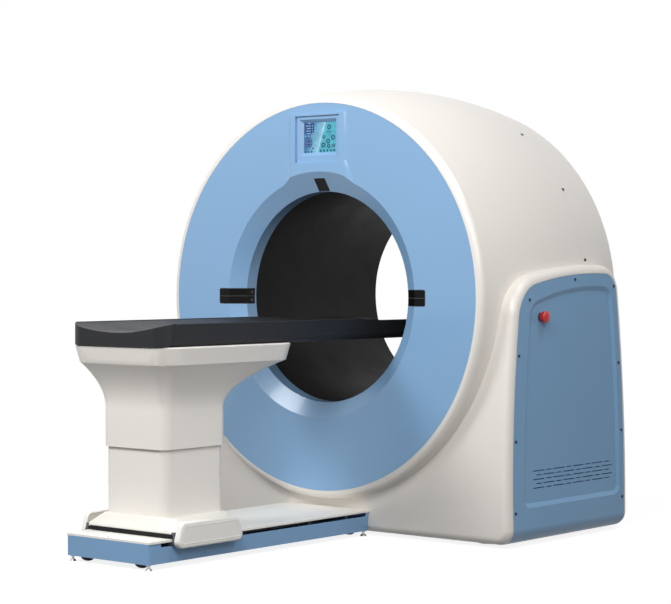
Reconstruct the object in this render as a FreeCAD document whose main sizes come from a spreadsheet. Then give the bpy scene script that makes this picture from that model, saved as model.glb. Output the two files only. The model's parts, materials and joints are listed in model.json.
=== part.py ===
"""CT scanner: a drum gantry with side blocks round a patient bore, and a table on a floor base.

Millimetres. X runs to the right seen from the table end, Y runs from the table into the bore, Z is up.
Every outline is drawn from the gantry's front face (Y = 0), and each finished piece is then moved so that
the origin lies on the floor under the middle of the whole machine.
"""
import FreeCAD, Part
import os
import re

import Sketcher

SIZES = [
    # gantry
    ("iso_height", 805, "height of the bore axis above the floor"),
    ("gantry_depth", 800, "front face of the drum to its rear face"),
    ("table_reach", 990, "front face of the drum to the foot end of the base"),
    ("bore_radius", 360, "clear radius of the patient bore"),
    ("face_radius", 660, "outer radius of the flat front face"),
    ("face_inner_radius", 413, "radius where the front face turns into the cone"),
    ("face_thickness", 4, "sheet of the front face and cone"),
    ("cone_depth", 36, "depth of the cone at the mouth of the bore"),
    ("cone_band_depth", 85, "depth where the coloured band ends and the liner starts"),
    ("rim_round", 27, "rounding round the front face"),
    ("drum_swell", 39, "how far the drum bulges over the rounded rim"),
    ("drum_rear_swell", 1, "the same at its rear edge"),
    ("drum_rear_round", 16, "rounding of the rear edge of the drum"),
    ("cover_wall", 6, "moulded wall of the covers"),
    ("face_lip", 20, "width of the lip that the front face is screwed to"),
    ("lip_depth", 9, "depth of that lip"),
    ("rear_cover_depth", 248, "seam of the two covers to the rear face"),
    ("seam_gap", 0.8, "visible joint between covers"),
    ("fit_gap", 0.3, "clearance between seated pieces"),
    # side blocks
    ("block_stand", 24, "how far the side faces stand out past the drum"),
    ("cover_lift", 12, "floor to the underside of the covers"),
    ("front_waist", 52, "front wall behind the front face at its furthest forward"),
    ("front_waist_height", 230, "height of that place"),
    ("front_wall_radius", 4300, "curve of the front wall in side view"),
    ("rear_waist_margin", 18, "rear wall at its furthest back to the rear face of the drum"),
    ("rear_waist_height", 50, "height of that place"),
    ("rear_wall_radius", 5400, "curve of the rear wall in side view"),
    ("fin_crest_height", 914, "height of the side block's crest"),
    ("fin_crest_margin", 240, "crest to the rear face of the drum"),
    ("front_shoulder_drop", 53, "crest down to the front shoulder"),
    ("rear_shoulder_drop", 5, "crest down to the rear shoulder"),
    ("front_shoulder_radius", 150, "rounding of the front shoulder"),
    ("rear_shoulder_radius", 100, "rounding of the rear shoulder"),
    ("edge_round", 28, "rounding all round the side face"),
    ("foot_round", 50, "rounding of the lower long edges"),
    ("floor_opening_margin", 90, "flange left round the open underside"),
    # side panels
    ("panel_wall", 4, "sheet of the side panels"),
    ("panel_gap", 1, "joint round a side panel"),
    ("flange_width", 22, "flange behind the edge of a side panel"),
    ("flange_wall", 3, "thickness of that flange"),
    ("recess_front_margin", 76, "panel edge to the recessed field, front"),
    ("recess_rear_margin", 42, "panel edge to the recessed field, rear"),
    ("recess_top_margin", 56, "panel edge to the recessed field, top"),
    ("recess_foot", 140, "height of the lower edge of the recessed field"),
    ("recess_depth", 7, "depth of the recessed field"),
    ("recess_bevel", 6.3, "bevel round the recessed field, into its depth"),
    ("recess_bevel_width", 14, "bevel round the recessed field, along the panel"),
    ("recess_shoulder_radius", 40, "upper corners of the recessed field"),
    ("recess_foot_radius", 18, "lower corners of the recessed field"),
    ("vent_rows", 5, "rows of ventilation slots"),
    ("vent_row_pitch", 14, "distance between rows"),
    ("vent_low", 185, "height of the lowest row"),
    ("vent_start", 205, "front end of the rows"),
    ("vent_long", 68, "long slot"),
    ("vent_short", 32, "short slot"),
    ("vent_bridge", 9, "bridge between two slots"),
    ("vent_height", 3.6, "height of a slot"),
    ("vent_count", 8, "slots in a row, long and short by turns"),
    ("vent_shift", 18, "how far every second row starts further back"),
    ("screw_margin", 13, "panel edge to the middle of its screws"),
    ("screw_head_radius", 5, "head of the cover screws"),
    ("screw_head_height", 2.2, "height of that head"),
    ("screw_shank_radius", 2, "shank of the cover screws"),
    ("screw_length", 14, "length of the cover screws under the head"),
    ("screw_low", 115, "height of the lowest panel screws"),
    ("screw_middle", 346, "height of the middle panel screws"),
    ("screw_high", 621, "height of the upper panel screw in front"),
    ("screw_high_rear", 578, "height of the upper panel screw at the rear"),
    ("stop_depth", 246, "depth of the emergency stop"),
    ("stop_drop", 117, "front shoulder down to the emergency stop"),
    ("stop_button_radius", 20, "mushroom head of the emergency stop"),
    ("stop_collar_radius", 15, "collar of the emergency stop"),
    ("stop_collar_height", 9, "collar above the panel"),
    ("stop_stem_radius", 7, "stem of the mushroom head"),
    ("stop_button_height", 15, "height of the mushroom head"),
    ("stop_travel", 6, "travel of the mushroom head"),
    # cover screws and tongue
    ("cover_screws_per_side", 3, "screws along the seam on each side"),
    ("cover_screw_margin", 14, "seam to the screws along it"),
    ("cover_screw_angle", 38.7, "first screw from the top, degrees"),
    ("cover_screw_step", 20.6, "step between screws, degrees"),
    ("tongue_length", 24, "tongue of the front cover under the rear cover"),
    # display
    ("boss_half_width", 118, "raised block over the bore"),
    ("boss_top_margin", 36, "its upper edge to the rim of the face"),
    ("boss_lap", 28, "how far it runs down into the cone"),
    ("boss_foot_rise", 9.5, "how far it stands out below"),
    ("boss_top_rise", 7, "how far it stands out above"),
    ("boss_flank", 8, "slope of its sides, across"),
    ("boss_toe", 38, "slope of its sides at the rim of the cone, across"),
    ("boss_toe_height", 80, "how far up that wider slope runs"),
    ("bezel_half_width", 97, "display frame, half width"),
    ("bezel_margin", 7, "display frame to the upper edge of the block"),
    ("bezel_height", 159, "display frame, height"),
    ("bezel_rise", 1, "how far it stands out of the face, less than the block"),
    ("window_half_width", 82, "opening of the display frame at its front"),
    ("window_foot_margin", 23, "lower edge of the frame to that opening"),
    ("window_top_margin", 12, "upper edge of the frame to that opening"),
    ("window_bevel", 11, "bevel round that opening"),
    ("screen_glass", 3, "glass of the screen"),
    ("screen_lap", 6, "glass behind the frame all round"),
    ("display_unit_depth", 26, "housing behind the screen"),
    # laser windows
    ("laser_half_width", 28, "half width of a laser window"),
    ("laser_reach", 458, "radius where the side windows end on the face"),
    ("top_laser_half_width", 25, "half width of the laser window at the top"),
    ("top_laser_start", 6, "front face to the upper end of that window"),
    ("laser_depth", 79, "depth that the side windows reach in the bore"),
    ("laser_corner", 7, "corners of the windows"),
    ("laser_gap", 0.4, "joint round a window"),
    ("laser_unit_length", 44, "laser unit away from the bore"),
    ("laser_unit_depth", 30, "laser unit along the bore"),
    ("laser_unit_height", 60, "laser unit across the beam"),
    ("laser_lens_radius", 7, "lens of a laser"),
    # bore liner
    ("flare_depth", 35, "length of the liner's flare"),
    ("flare_width", 60, "bore radius to the rim of the flare"),
    ("flare_flange", 32, "flat rim round the flare"),
    ("flare_sheet", 3, "sheet of that rim"),
    # gantry frame
    ("beam_inset", 160, "side face to the middle of the long beams"),
    ("beam_width", 70, "width of the beams"),
    ("beam_foot", 30, "height of the underside of the beams"),
    ("beam_top", 80, "height of the upper side of the beams"),
    ("beam_front", 140, "front end of the long beams"),
    ("beam_rear_margin", 110, "rear end of the long beams to the rear face"),
    ("beam_sheet", 5, "wall of the beams"),
    ("bracket_length", 60, "bracket between frame and covers, along the beam"),
    ("bracket_reach", 65, "how far it stands out of the beam"),
    ("gantry_foot_radius", 42, "pad of a gantry foot"),
    ("gantry_foot_height", 10, "height of that pad"),
    ("gantry_stud_radius", 10, "stud of a gantry foot"),
    ("gantry_foot_inset", 45, "end of the beams to the feet"),
    ("stator_depth", 430, "front of the stator plate"),
    ("stator_plate", 24, "thickness of the stator plate"),
    ("stator_margin", 58, "edge of the stator plate to the drum"),
    ("stator_foot_inset", 75, "its foot to the middle of the long beams"),
    # bearing and rotor
    ("bearing_radius", 470, "outside of the bearing"),
    ("bearing_bore", 402, "bore of the bearing"),
    ("bearing_width", 40, "width of the bearing"),
    ("ball_pitch_radius", 436, "pitch circle of the balls"),
    ("ball_radius", 11, "radius of a ball"),
    ("ball_gap", 0.3, "clearance of a ball in its groove"),
    ("race_gap", 6, "space between the two races"),
    ("ball_count", 30, "balls in the bearing"),
    ("rotor_radius", 640, "outer radius of the rotor plate"),
    ("rotor_hub_radius", 378, "bore of the rotor's hub"),
    ("rotor_depth", 372, "front of the rotor plate"),
    ("rotor_plate", 20, "thickness of the rotor plate"),
    ("rotor_rim", 40, "width of the belt rim"),
    ("rotor_hub_end", 560, "rear end of the hub"),
    ("rotor_front", 130, "front of what the rotor carries"),
    ("tube_radius", 84, "radius of the X-ray tube housing"),
    ("tube_orbit", 520, "radius of its orbit"),
    ("tube_neck_radius", 46, "radius of the housing's end caps"),
    ("tube_neck", 34, "length of an end cap"),
    ("collimator_half_width", 84, "collimator box"),
    ("collimator_slot", 6, "slot of the collimator"),
    ("detector_distance", 960, "focus to the detector's face"),
    ("detector_thickness", 46, "thickness of the detector"),
    ("detector_half_angle", 25, "half the angle of the detector, degrees"),
    ("detector_front", 200, "front of the detector"),
    ("generator_inner", 432, "generator and cooler, near side to the axis"),
    ("generator_outer", 596, "generator and cooler, far side"),
    ("generator_half_height", 122, "half the height of generator and cooler"),
    ("generator_front", 160, "front of generator and cooler"),
    ("weight_radius", 606, "outer radius of the counterweights"),
    ("weight_thickness", 50, "their thickness"),
    ("weight_angle", 40, "the axis of a counterweight from the vertical, degrees"),
    ("weight_half_length", 70, "half their length"),
    ("slip_ring_radius", 560, "outer radius of the slip ring"),
    ("slip_ring_depth", 500, "front of the slip ring"),
    ("slip_ring_plate", 22, "thickness of the slip ring"),
    ("brush_half_width", 45, "half width of the brush block"),
    ("brush_length", 90, "radial length of the brush block"),
    # rotor drive
    ("pulley_radius", 48, "pitch radius of the motor pulley"),
    ("pulley_offset", 10, "motor shaft past the middle of the long beam"),
    ("pulley_z", 152, "height of the motor shaft"),
    ("belt_thickness", 5, "thickness of the drive belt"),
    ("belt_gap", 0.4, "clearance that the belt keeps on the pulleys"),
    ("belt_width", 30, "width of the drive belt"),
    ("motor_radius", 60, "radius of the rotor motor"),
    ("motor_length", 170, "length of the rotor motor"),
    ("motor_shaft_radius", 12, "radius of the motor shaft"),
    # table base
    ("base_half_width", 178, "half width of the table base"),
    ("base_foot", 18, "height of its underside"),
    ("base_top", 80, "height of its upper edge"),
    ("base_sheet", 3, "sheet of the base"),
    ("base_round", 6, "rounding of the base's upright edges"),
    ("top_plate", 8, "thickness of the plate on the base"),
    ("top_plate_overhang", 3, "how far the plate stands over the sides"),
    ("slot_height", 13, "height of the side slots"),
    ("slot_start", 938, "front face to the slot's foot end"),
    ("slot_end", 38, "front face to the slot's rear end, inside the gantry"),
    ("table_foot_inset", 13, "edge of the base to the middle of a levelling foot"),
    ("table_foot_radius", 11, "pad of a levelling foot"),
    ("table_foot_height", 6, "height of that pad"),
    ("table_stud_radius", 4, "stud of a levelling foot"),
    ("table_stud_length", 30, "length of that stud over the pad"),
    # casters
    ("caster_x", 118, "middle plane to a caster's swivel axis"),
    ("caster_inset", 46, "end of the base to that axis"),
    ("caster_wheel_radius", 22, "radius of a caster wheel"),
    ("caster_wheel_width", 26, "width of a caster wheel"),
    ("caster_lift", 2, "wheel clear of the floor while the feet carry"),
    ("caster_trail", 14, "swivel axis to wheel axis"),
    ("caster_plate", 4, "swivel plate"),
    ("caster_plate_top", 58, "height of the swivel plate's upper side"),
    ("caster_cheek", 3, "cheek of the fork"),
    ("caster_axle_radius", 4, "axle of the wheel"),
    ("caster_axle_gap", 0.1, "clearance of wheel and pivot on their pins"),
    ("caster_pivot_radius", 7, "pivot pin of the fork"),
    ("caster_well_radius", 42, "well in the base for the turning caster"),
    # carriage drive
    ("rail_x", 130, "middle plane to a rail"),
    ("rail_half_width", 8, "half width of a rail"),
    ("rail_height", 20, "height of a rail"),
    ("rail_start", 904, "front face to the foot end of the rails"),
    ("rail_end", 92, "front face to their other end"),
    ("slide_gap", 0.3, "clearance of sliding pieces"),
    ("screw_axis_height", 40, "height of the drive screw"),
    ("drive_screw_radius", 9, "radius of the drive screw"),
    ("drive_screw_start", 946, "front face to the foot end of the drive screw"),
    ("drive_motor_half", 27, "half width of the table motor"),
    ("drive_motor_front", 62, "front face to the table motor"),
    ("drive_bearing_length", 24, "length of the bearing block"),
    # carriage and column
    ("carriage_start", 895, "front face to the foot end of the carriage"),
    ("carriage_end", 612, "front face to its other end"),
    ("carriage_floor", 70, "height of the carriage's lower plate"),
    ("carriage_sheet", 8, "thickness of its lower plate"),
    ("carriage_deck", 100, "height of the underside of its deck"),
    ("carriage_deck_sheet", 8, "thickness of the deck"),
    ("carriage_half_width", 192, "half width of the carriage"),
    ("carriage_side", 7, "thickness of its side plates"),
    ("runner_length", 60, "length of a rail runner"),
    ("runner_half_width", 18, "half width of a rail runner"),
    ("nut_half_width", 18, "half width of the drive nut"),
    ("saddle_start", 897, "front face to the foot end of the saddle"),
    ("saddle_end", 590, "front face to the saddle's other end"),
    ("saddle_half_width", 195, "half width of the saddle at its foot"),
    ("saddle_top", 143, "height where the saddle meets the column"),
    ("saddle_wall", 3, "moulded wall of the saddle"),
    ("saddle_rest", 4, "ledge of the saddle round the column"),
    ("saddle_corner", 24, "upright corners of the saddle"),
    ("side_cover_outer", 215, "outer face of the carriage side covers"),
    ("side_cover_foot", 60, "height of their lower edge"),
    ("side_cover_top", 138, "height of their upper edge"),
    ("side_cover_foot_start", 907, "lower edge, foot end"),
    ("side_cover_top_start", 882, "upper edge, foot end"),
    ("side_cover_top_end", 638, "upper edge, other end"),
    ("side_cover_foot_end", 600, "lower edge, other end"),
    ("side_cover_corner", 21, "corners of the side covers"),
    ("side_cover_edge", 7, "rounding of their outer edge"),
    ("column_centre", 741, "front face to the middle of the column"),
    ("lower_half_width", 130, "lower column, half width"),
    ("lower_half_depth", 135, "lower column, half depth"),
    ("lower_top", 565, "height of the lower column's upper end"),
    ("upper_half_width", 137, "upper column, half width"),
    ("upper_half_depth", 142, "upper column, half depth"),
    ("upper_foot", 351, "height of the upper column's lower edge"),
    ("column_wall", 4, "wall of both columns"),
    ("column_corner", 34, "upright corners of the upper column"),
    ("glide_length", 60, "length of the glides between the columns"),
    ("glide_half_width", 40, "half width of a glide"),
    ("actuator_radius", 30, "body of the lifting actuator"),
    ("actuator_top", 430, "height of that body's upper end"),
    ("actuator_bore", 16.3, "bore for the lifting rod"),
    ("actuator_rod_radius", 16, "lifting rod"),
    ("actuator_rod_foot", 230, "height of the lifting rod's lower end"),
    # head and tabletop
    ("flare_sections", 5, "steps in the loft of the flare"),
    ("flare_start", 470, "height where the column starts to widen"),
    ("head_foot", 612, "height of the head's band"),
    ("head_top", 666, "height of the head's upper face"),
    ("head_foot_half_width", 211, "head at the foot of its band, half width"),
    ("head_half_width", 222, "head at its upper face, half width"),
    ("head_start", 949, "front face to the foot end of the head"),
    ("head_end", 357, "front face to the head's other end"),
    ("head_taper", 9, "how far the band draws in at its foot, along the table"),
    ("head_corner", 66, "corners of the head"),
    ("head_lip", 4, "bevel round the head's upper face"),
    ("top_half_width", 217, "half width of the tabletop"),
    ("top_start", 953, "front face to the foot end of the tabletop"),
    ("top_end", 460, "length of the tabletop behind the front face"),
    ("top_rim", 736, "height of the tabletop's rims"),
    ("top_rim_width", 9, "width of a rim"),
    ("top_foot_half_width", 187, "half width of its flat underside"),
    ("top_side_height", 24, "height of the rounding along its underside"),
    ("top_trough", 29, "depth of the trough"),
    ("top_corner", 62, "corners of the tabletop"),
    ("top_rim_drop", 8, "how much lower the rims are in the bore"),
    ("top_drop_start", 60, "front face to where the rims start to drop"),
    ("top_drop_length", 160, "length over which they drop"),
]

# Places and sizes that follow from others by a named distance
TIED = {
    "drum_crown_radius": "(face_radius + rim_round + drum_swell)",
    "drum_rear_radius": "(face_radius + rim_round + drum_rear_swell)",
    "seam_depth": "(gantry_depth - rear_cover_depth)",
    "cover_screw_depth": "(seam_depth + cover_screw_margin)",
    "side_half_width": "(drum_crown_radius + block_stand)",
    "rear_waist": "(gantry_depth - rear_waist_margin)",
    "fin_crest_depth": "(gantry_depth - fin_crest_margin)",
    "fin_front_height": "(fin_crest_height - front_shoulder_drop)",
    "fin_rear_height": "(fin_crest_height - rear_shoulder_drop)",
    "stop_height": "(fin_front_height - stop_drop)",
    "boss_top": "(iso_height + face_radius - boss_top_margin)",
    "boss_foot": "(iso_height + face_inner_radius - boss_lap)",
    "bezel_top": "(boss_top - bezel_margin)",
    "bezel_foot": "(bezel_top - bezel_height)",
    "window_foot": "(bezel_foot + window_foot_margin)",
    "window_top": "(bezel_top - window_top_margin)",
    "liner_end": "(gantry_depth - flare_depth)",
    "beam_half_span": "(side_half_width - beam_inset)",
    "beam_rear": "(gantry_depth - beam_rear_margin)",
    "stator_radius": "(drum_crown_radius - stator_margin)",
    "stator_foot_half_width": "(beam_half_span - stator_foot_inset)",
    "pulley_x": "(beam_half_span + pulley_offset)",
}

doc = FreeCAD.newDocument("ct_scanner")
sizes = doc.addObject("Spreadsheet::Sheet", "sizes")
for row, (alias, number, note) in enumerate(SIZES, start=1):
    sizes.set(f"A{row}", note)
    sizes.set(f"B{row}", str(number))
    sizes.setAlias(f"B{row}", alias)
doc.recompute()
ALIASES = {alias for alias, number, note in SIZES}

# Sketch planes: the turn that lays a sketch on each, with its first axis along X, X and Y
PLANES = {
    "XY": FreeCAD.Rotation(),
    "XZ": FreeCAD.Rotation(FreeCAD.Vector(1, 0, 0), 90),
    "YZ": FreeCAD.Rotation(FreeCAD.Vector(1, 1, 1), 120),
}
AXES = {"X": FreeCAD.Vector(1, 0, 0), "Y": FreeCAD.Vector(0, 1, 0), "Z": FreeCAD.Vector(0, 0, 1)}
ACROSS = {"XY": "Z", "XZ": "Y", "YZ": "X"}
ALONG = {
    "X": FreeCAD.Rotation(FreeCAD.Vector(0, 1, 0), 90),
    "Y": FreeCAD.Rotation(FreeCAD.Vector(1, 0, 0), -90),
    "Z": FreeCAD.Rotation(),
}
ORIGIN_SHIFT = "(table_reach - gantry_depth) / 2"
pieces = {}
place_y = {}


# ---------------------------------------------------------------- sizes and places

def formula(text):
    """The expression that reads the named sizes from the sheet, with the tied ones written out."""
    def spelled(word):
        if word[0] in TIED:
            return formula(TIED[word[0]])
        return "sizes." + word[0] if word[0] in ALIASES else word[0]

    return re.sub(r"[a-z_]+", spelled, str(text))


def value(text):
    """The number that a text in named sizes comes to."""
    return float(sizes.evalExpression(formula(text)))


def bind(item, fields):
    """Tie fields of a piece to the sheet."""
    for field, text in fields.items():
        item.setExpression(field, formula(text))


def place(item, x=0, y=0, z=0, turn=None):
    """Put a piece at a point given in named sizes."""
    item.Placement = FreeCAD.Placement(FreeCAD.Vector(), turn or FreeCAD.Rotation())
    bind(item, {"Placement.Base.x": x, "Placement.Base.y": y, "Placement.Base.z": z})
    place_y[item.Name] = y
    return item


def tilt(item, sign, angle):
    """Turn a piece about its own origin: its upper end goes to the right (1) or to the left (-1)."""
    item.Placement = FreeCAD.Placement(item.Placement.Base,
                                       FreeCAD.Rotation(AXES["Y"] * sign, value(angle)))
    bind(item, {"Placement.Rotation.Angle": angle})
    return item


def node(label, item):
    """Name a finished piece and move it from the gantry's front face to the common origin."""
    item.Label = label
    bind(item, {"Placement.Base.y": f"{place_y.get(item.Name, 0)} + {ORIGIN_SHIFT}"})
    pieces[label] = item
    return item


# ---------------------------------------------------------------- solids

def box(name, x, y, z):
    """A block between two planes on each axis."""
    item = doc.addObject("Part::Box", name)
    bind(item, {"Length": f"{x[1]} - ({x[0]})", "Width": f"{y[1]} - ({y[0]})",
                "Height": f"{z[1]} - ({z[0]})"})
    return place(item, x[0], y[0], z[0])


def rod(name, axis, start, radius, length):
    """A round bar from its start point along an axis."""
    item = doc.addObject("Part::Cylinder", name)
    bind(item, {"Radius": radius, "Height": length})
    return place(item, *start, turn=ALONG[axis])


def taper(name, axis, start, radius, end_radius, length):
    """A cone frustum from its start point along an axis."""
    item = doc.addObject("Part::Cone", name)
    bind(item, {"Radius1": radius, "Radius2": end_radius, "Height": length})
    return place(item, *start, turn=ALONG[axis])


def joined(kind, name, items):
    """A boolean of several pieces."""
    item = doc.addObject(kind, name)
    item.Shapes = list(items)
    item.Refine = True
    return item


def fuse(name, *items):
    return joined("Part::MultiFuse", name, items)


def common(name, *items):
    return joined("Part::MultiCommon", name, items)


def group(name, items):
    """Separate solids that share one name."""
    item = doc.addObject("Part::Compound", name)
    item.Links = list(items)
    return item


def cut(name, base, *tools):
    """Take one or more tools away from a piece."""
    item = doc.addObject("Part::Cut", name)
    item.Base = base
    item.Tool = tools[0] if len(tools) == 1 else fuse(name + "_tools", *tools)
    item.Refine = True
    return item


def tube(name, axis, start, radius, bore, length):
    """A round tube from its start point along an axis."""
    inner = rod(name + "_bore", axis, start, bore, length)
    return cut(name, rod(name + "_outside", axis, start, radius, length), inner)


def mirrored(name, item):
    """The same piece on the other side of the middle plane."""
    copy = doc.addObject("Part::Mirroring", name)
    copy.Source = item
    copy.Normal = AXES["X"]
    return copy


def edged(kind, name, item, sizes, chosen):
    """Round or bevel the edges that the test picks, with a size for each of their two faces."""
    doc.recompute()
    feature = doc.addObject(kind, name)
    feature.Base = item
    widths = [value(size) for size in sizes]
    feature.Edges = [(i, *widths) for i, edge in enumerate(item.Shape.Edges, start=1) if chosen(edge)]
    return feature


def rounded(name, item, radius, chosen):
    return edged("Part::Fillet", name, item, (radius, radius), chosen)


# ---------------------------------------------------------------- outlines

def hold(sketch, geometry, spot, point):
    """Hold one point of a sketch at its two distances from the origin."""
    for kind, text in zip(("DistanceX", "DistanceY"), point):
        number = sketch.addConstraint(Sketcher.Constraint(kind, -1, 1, geometry, spot, value(text)))
        sketch.setExpression(f"Constraints[{number}]", formula(text))


def draw(sketch, path):
    """Draw a closed outline. An entry is a point (x, y), or an arc's middle and end (x, y, x, y)."""
    def spot_of(point):
        return FreeCAD.Vector(value(point[0]), value(point[1]), 0)

    start = path[0][-2:]
    closing = [] if path[-1][-2:] == start else [start]
    for entry in path[1:] + closing:
        end = entry[-2:]
        if len(entry) == 2:
            side = sketch.addGeometry(Part.LineSegment(spot_of(start), spot_of(end)))
        else:
            side = sketch.addGeometry(Part.Arc(spot_of(start), spot_of(entry[:2]), spot_of(end)))
            middle = sketch.addGeometry(Part.Point(spot_of(entry[:2])), True)
            hold(sketch, middle, 1, entry[:2])
            sketch.addConstraint(Sketcher.Constraint("PointOnObject", middle, 1, side))
        flipped = sketch.getPoint(side, 1).distanceToPoint(spot_of(start)) > 1e-6
        hold(sketch, side, 2 if flipped else 1, start)
        hold(sketch, side, 1 if flipped else 2, end)
        start = end


def outline(name, plane, path, at=(0, 0, 0)):
    """A sketch with one closed outline on a plane through a point."""
    sketch = doc.addObject("Sketcher::SketchObject", name)
    place(sketch, *at, turn=PLANES[plane])
    draw(sketch, path)
    return sketch


def prism(name, plane, path, start, length, slope=0):
    """An outline drawn on a plane and pushed across it from a start plane."""
    axis = ACROSS[plane]
    at = [start if letter == axis else 0 for letter in "XYZ"]
    item = doc.addObject("Part::Extrusion", name)
    item.Base = outline(name + "_outline", plane, path, at)
    item.DirMode = "Custom"
    item.Dir = AXES[axis]
    item.Solid = True
    bind(item, {"LengthFwd": length, "TaperAngle": slope})
    return item


def turned(name, path, axis="Y", centre=(0, 0, "iso_height")):
    """An outline of (way along the axis, radius) points turned once round the axis."""
    item = doc.addObject("Part::Revolution", name)
    item.Source = outline(name + "_outline", "YZ" if axis == "Y" else "XZ", path, centre)
    item.Axis = AXES[axis]
    item.Angle = 360
    item.Solid = True
    bind(item, {"Base.x": centre[0], "Base.y": centre[1], "Base.z": centre[2]})
    return item


def body(label):
    return doc.addObject("PartDesign::Body", label)


def body_sketch(owner, name, role):
    """A sketch on one of a body's own planes."""
    sketch = owner.newObject("Sketcher::SketchObject", name)
    plane = next(item for item in owner.Origin.OriginFeatures if item.Role == role)
    sketch.AttachmentSupport = [(plane, "")]
    sketch.MapMode = "FlatFace"
    return sketch


def pad(owner, name, sketch, length, both_sides=False, back=False):
    """Push a body's sketch out of its plane."""
    feature = owner.newObject("PartDesign::Pad", name)
    feature.Profile = sketch
    feature.SideType = "Symmetric" if both_sides else "One side"
    feature.Reversed = back
    bind(feature, {"Length": length})
    return feature


def body_fillet(owner, name, radius, chosen):
    """Round the picked edges of a body."""
    doc.recompute()
    base = owner.Tip
    names = [f"Edge{i}" for i, edge in enumerate(base.Shape.Edges, start=1) if chosen(edge)]
    feature = owner.newObject("PartDesign::Fillet", name)
    feature.Base = (base, names)
    bind(feature, {"Radius": radius})
    return feature


# ---------------------------------------------------------------- picking edges

def runs_along(axis, edge):
    """Whether an edge is a straight one along an axis."""
    if not isinstance(edge.Curve, Part.Line):
        return False
    return abs(abs(edge.tangentAt(edge.FirstParameter).dot(AXES[axis])) - 1) < 1e-6


def lies_at(edge, letter, text):
    """Whether an edge lies in a plane across X, Y or Z."""
    at = value(text)
    ends = [vertex.Point for vertex in edge.Vertexes] + [edge.CenterOfMass]
    return all(abs(getattr(point, letter.lower()) - at) < 1e-4 for point in ends)


# ---------------------------------------------------------------- gantry covers

def front_y(height, inset=0):
    """The front wall's place at a height, moved inwards by an inset."""
    return (f"front_waist + front_wall_radius"
            f" - sqrt((front_wall_radius - ({inset}))^2 - ({height} - front_waist_height)^2)")


def rear_y(height, inset=0):
    """The rear wall's place at a height, moved inwards by an inset."""
    return (f"rear_waist - rear_wall_radius"
            f" + sqrt((rear_wall_radius - ({inset}))^2 - ({height} - rear_waist_height)^2)")


def side_path(front, top, rear, foot):
    """The side block's outline in side view, each edge moved inwards by its own inset."""
    front_top = f"fin_front_height - ({top})"
    rear_top = f"fin_rear_height - ({top})"
    front_middle = f"(({foot}) + {front_top}) / 2"
    rear_middle = f"(({foot}) + {rear_top}) / 2"
    return [
        (front_y(foot, front), foot),
        (front_y(front_middle, front), front_middle, front_y(front_top, front), front_top),
        ("fin_crest_depth", f"fin_crest_height - ({top})", rear_y(rear_top, rear), rear_top),
        (rear_y(rear_middle, rear), rear_middle, rear_y(foot, rear), foot),
    ]


def side_block(name, inset):
    """The block that carries both side faces, moved inwards all round by an inset."""
    half_width = f"side_half_width - ({inset})"
    foot = f"cover_lift + {inset}"
    owner = body(name)
    sketch = body_sketch(owner, name + "_outline", "YZ_Plane")
    draw(sketch, side_path(inset, inset, inset, foot))
    pad(owner, name + "_pad", sketch, f"2 * ({half_width})", both_sides=True)
    top_edges = lambda edge: runs_along("X", edge) and edge.CenterOfMass.z > value("iso_height")
    front_top = lambda edge: top_edges(edge) and edge.CenterOfMass.y < value("gantry_depth / 2")
    rear_top = lambda edge: top_edges(edge) and edge.CenterOfMass.y > value("gantry_depth / 2")
    body_fillet(owner, name + "_front_shoulder", f"front_shoulder_radius - ({inset})", front_top)
    body_fillet(owner, name + "_rear_shoulder", f"rear_shoulder_radius - ({inset})", rear_top)
    body_fillet(owner, name + "_foot", f"foot_round - ({inset})",
                lambda edge: runs_along("Y", edge) and lies_at(edge, "Z", foot))
    body_fillet(owner, name + "_edge", f"edge_round - ({inset})",
                lambda edge: lies_at(edge, "X", half_width) or lies_at(edge, "X", f"-({half_width})"))
    return owner


def drum_radius(depth, inset=0):
    """The drum's radius at a depth: an arc on each side of the crown at mid depth."""
    reach = "(gantry_depth / 2 - drum_rear_round)"
    drop = "(drum_crown_radius - drum_rear_radius)"
    curve = f"({reach}^2 + {drop}^2) / (2 * {drop})"
    return f"drum_crown_radius - ({inset}) - {curve} + sqrt(({curve})^2 - ({depth} - gantry_depth / 2)^2)"


def drum_path(inset, front):
    """The drum's section from its axis outwards, as (depth, radius), starting at a front depth."""
    rear = f"gantry_depth - ({inset})"
    rim = f"face_radius + rim_round - ({inset})"
    rear_radius = f"drum_rear_radius - ({inset})"
    front_reach = "(gantry_depth / 2 - rim_round)"
    front_drop = "(drum_crown_radius - face_radius - rim_round)"
    front_curve = f"({front_reach}^2 + {front_drop}^2) / (2 * {front_drop})"
    front_middle = "(gantry_depth / 4 + rim_round / 2)"
    return [
        (front, 0),
        (front, "face_radius"),
        (f"{front} + (rim_round - ({front})) * (1 - cos(45))",
         f"face_radius + (rim_round - ({inset})) * sin(45)", "rim_round", rim),
        (front_middle, f"drum_crown_radius - ({inset}) - {front_curve}"
         f" + sqrt(({front_curve})^2 - ({front_middle} - gantry_depth / 2)^2)",
         "gantry_depth / 2", f"drum_crown_radius - ({inset})"),
        ("gantry_depth * 0.75", drum_radius("gantry_depth * 0.75", inset),
         "gantry_depth - drum_rear_round", rear_radius),
        (f"gantry_depth - drum_rear_round + (drum_rear_round - ({inset})) * sin(45)",
         f"{rear_radius} - drum_rear_round * (1 - cos(45))", rear, f"{rear_radius} - drum_rear_round"),
        (rear, 0),
    ]


def upper_edge(edge):
    return runs_along("X", edge) and edge.CenterOfMass.z > value("iso_height / 2")


def lower_edge(edge):
    return runs_along("X", edge) and edge.CenterOfMass.z < value("iso_height / 2")


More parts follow.
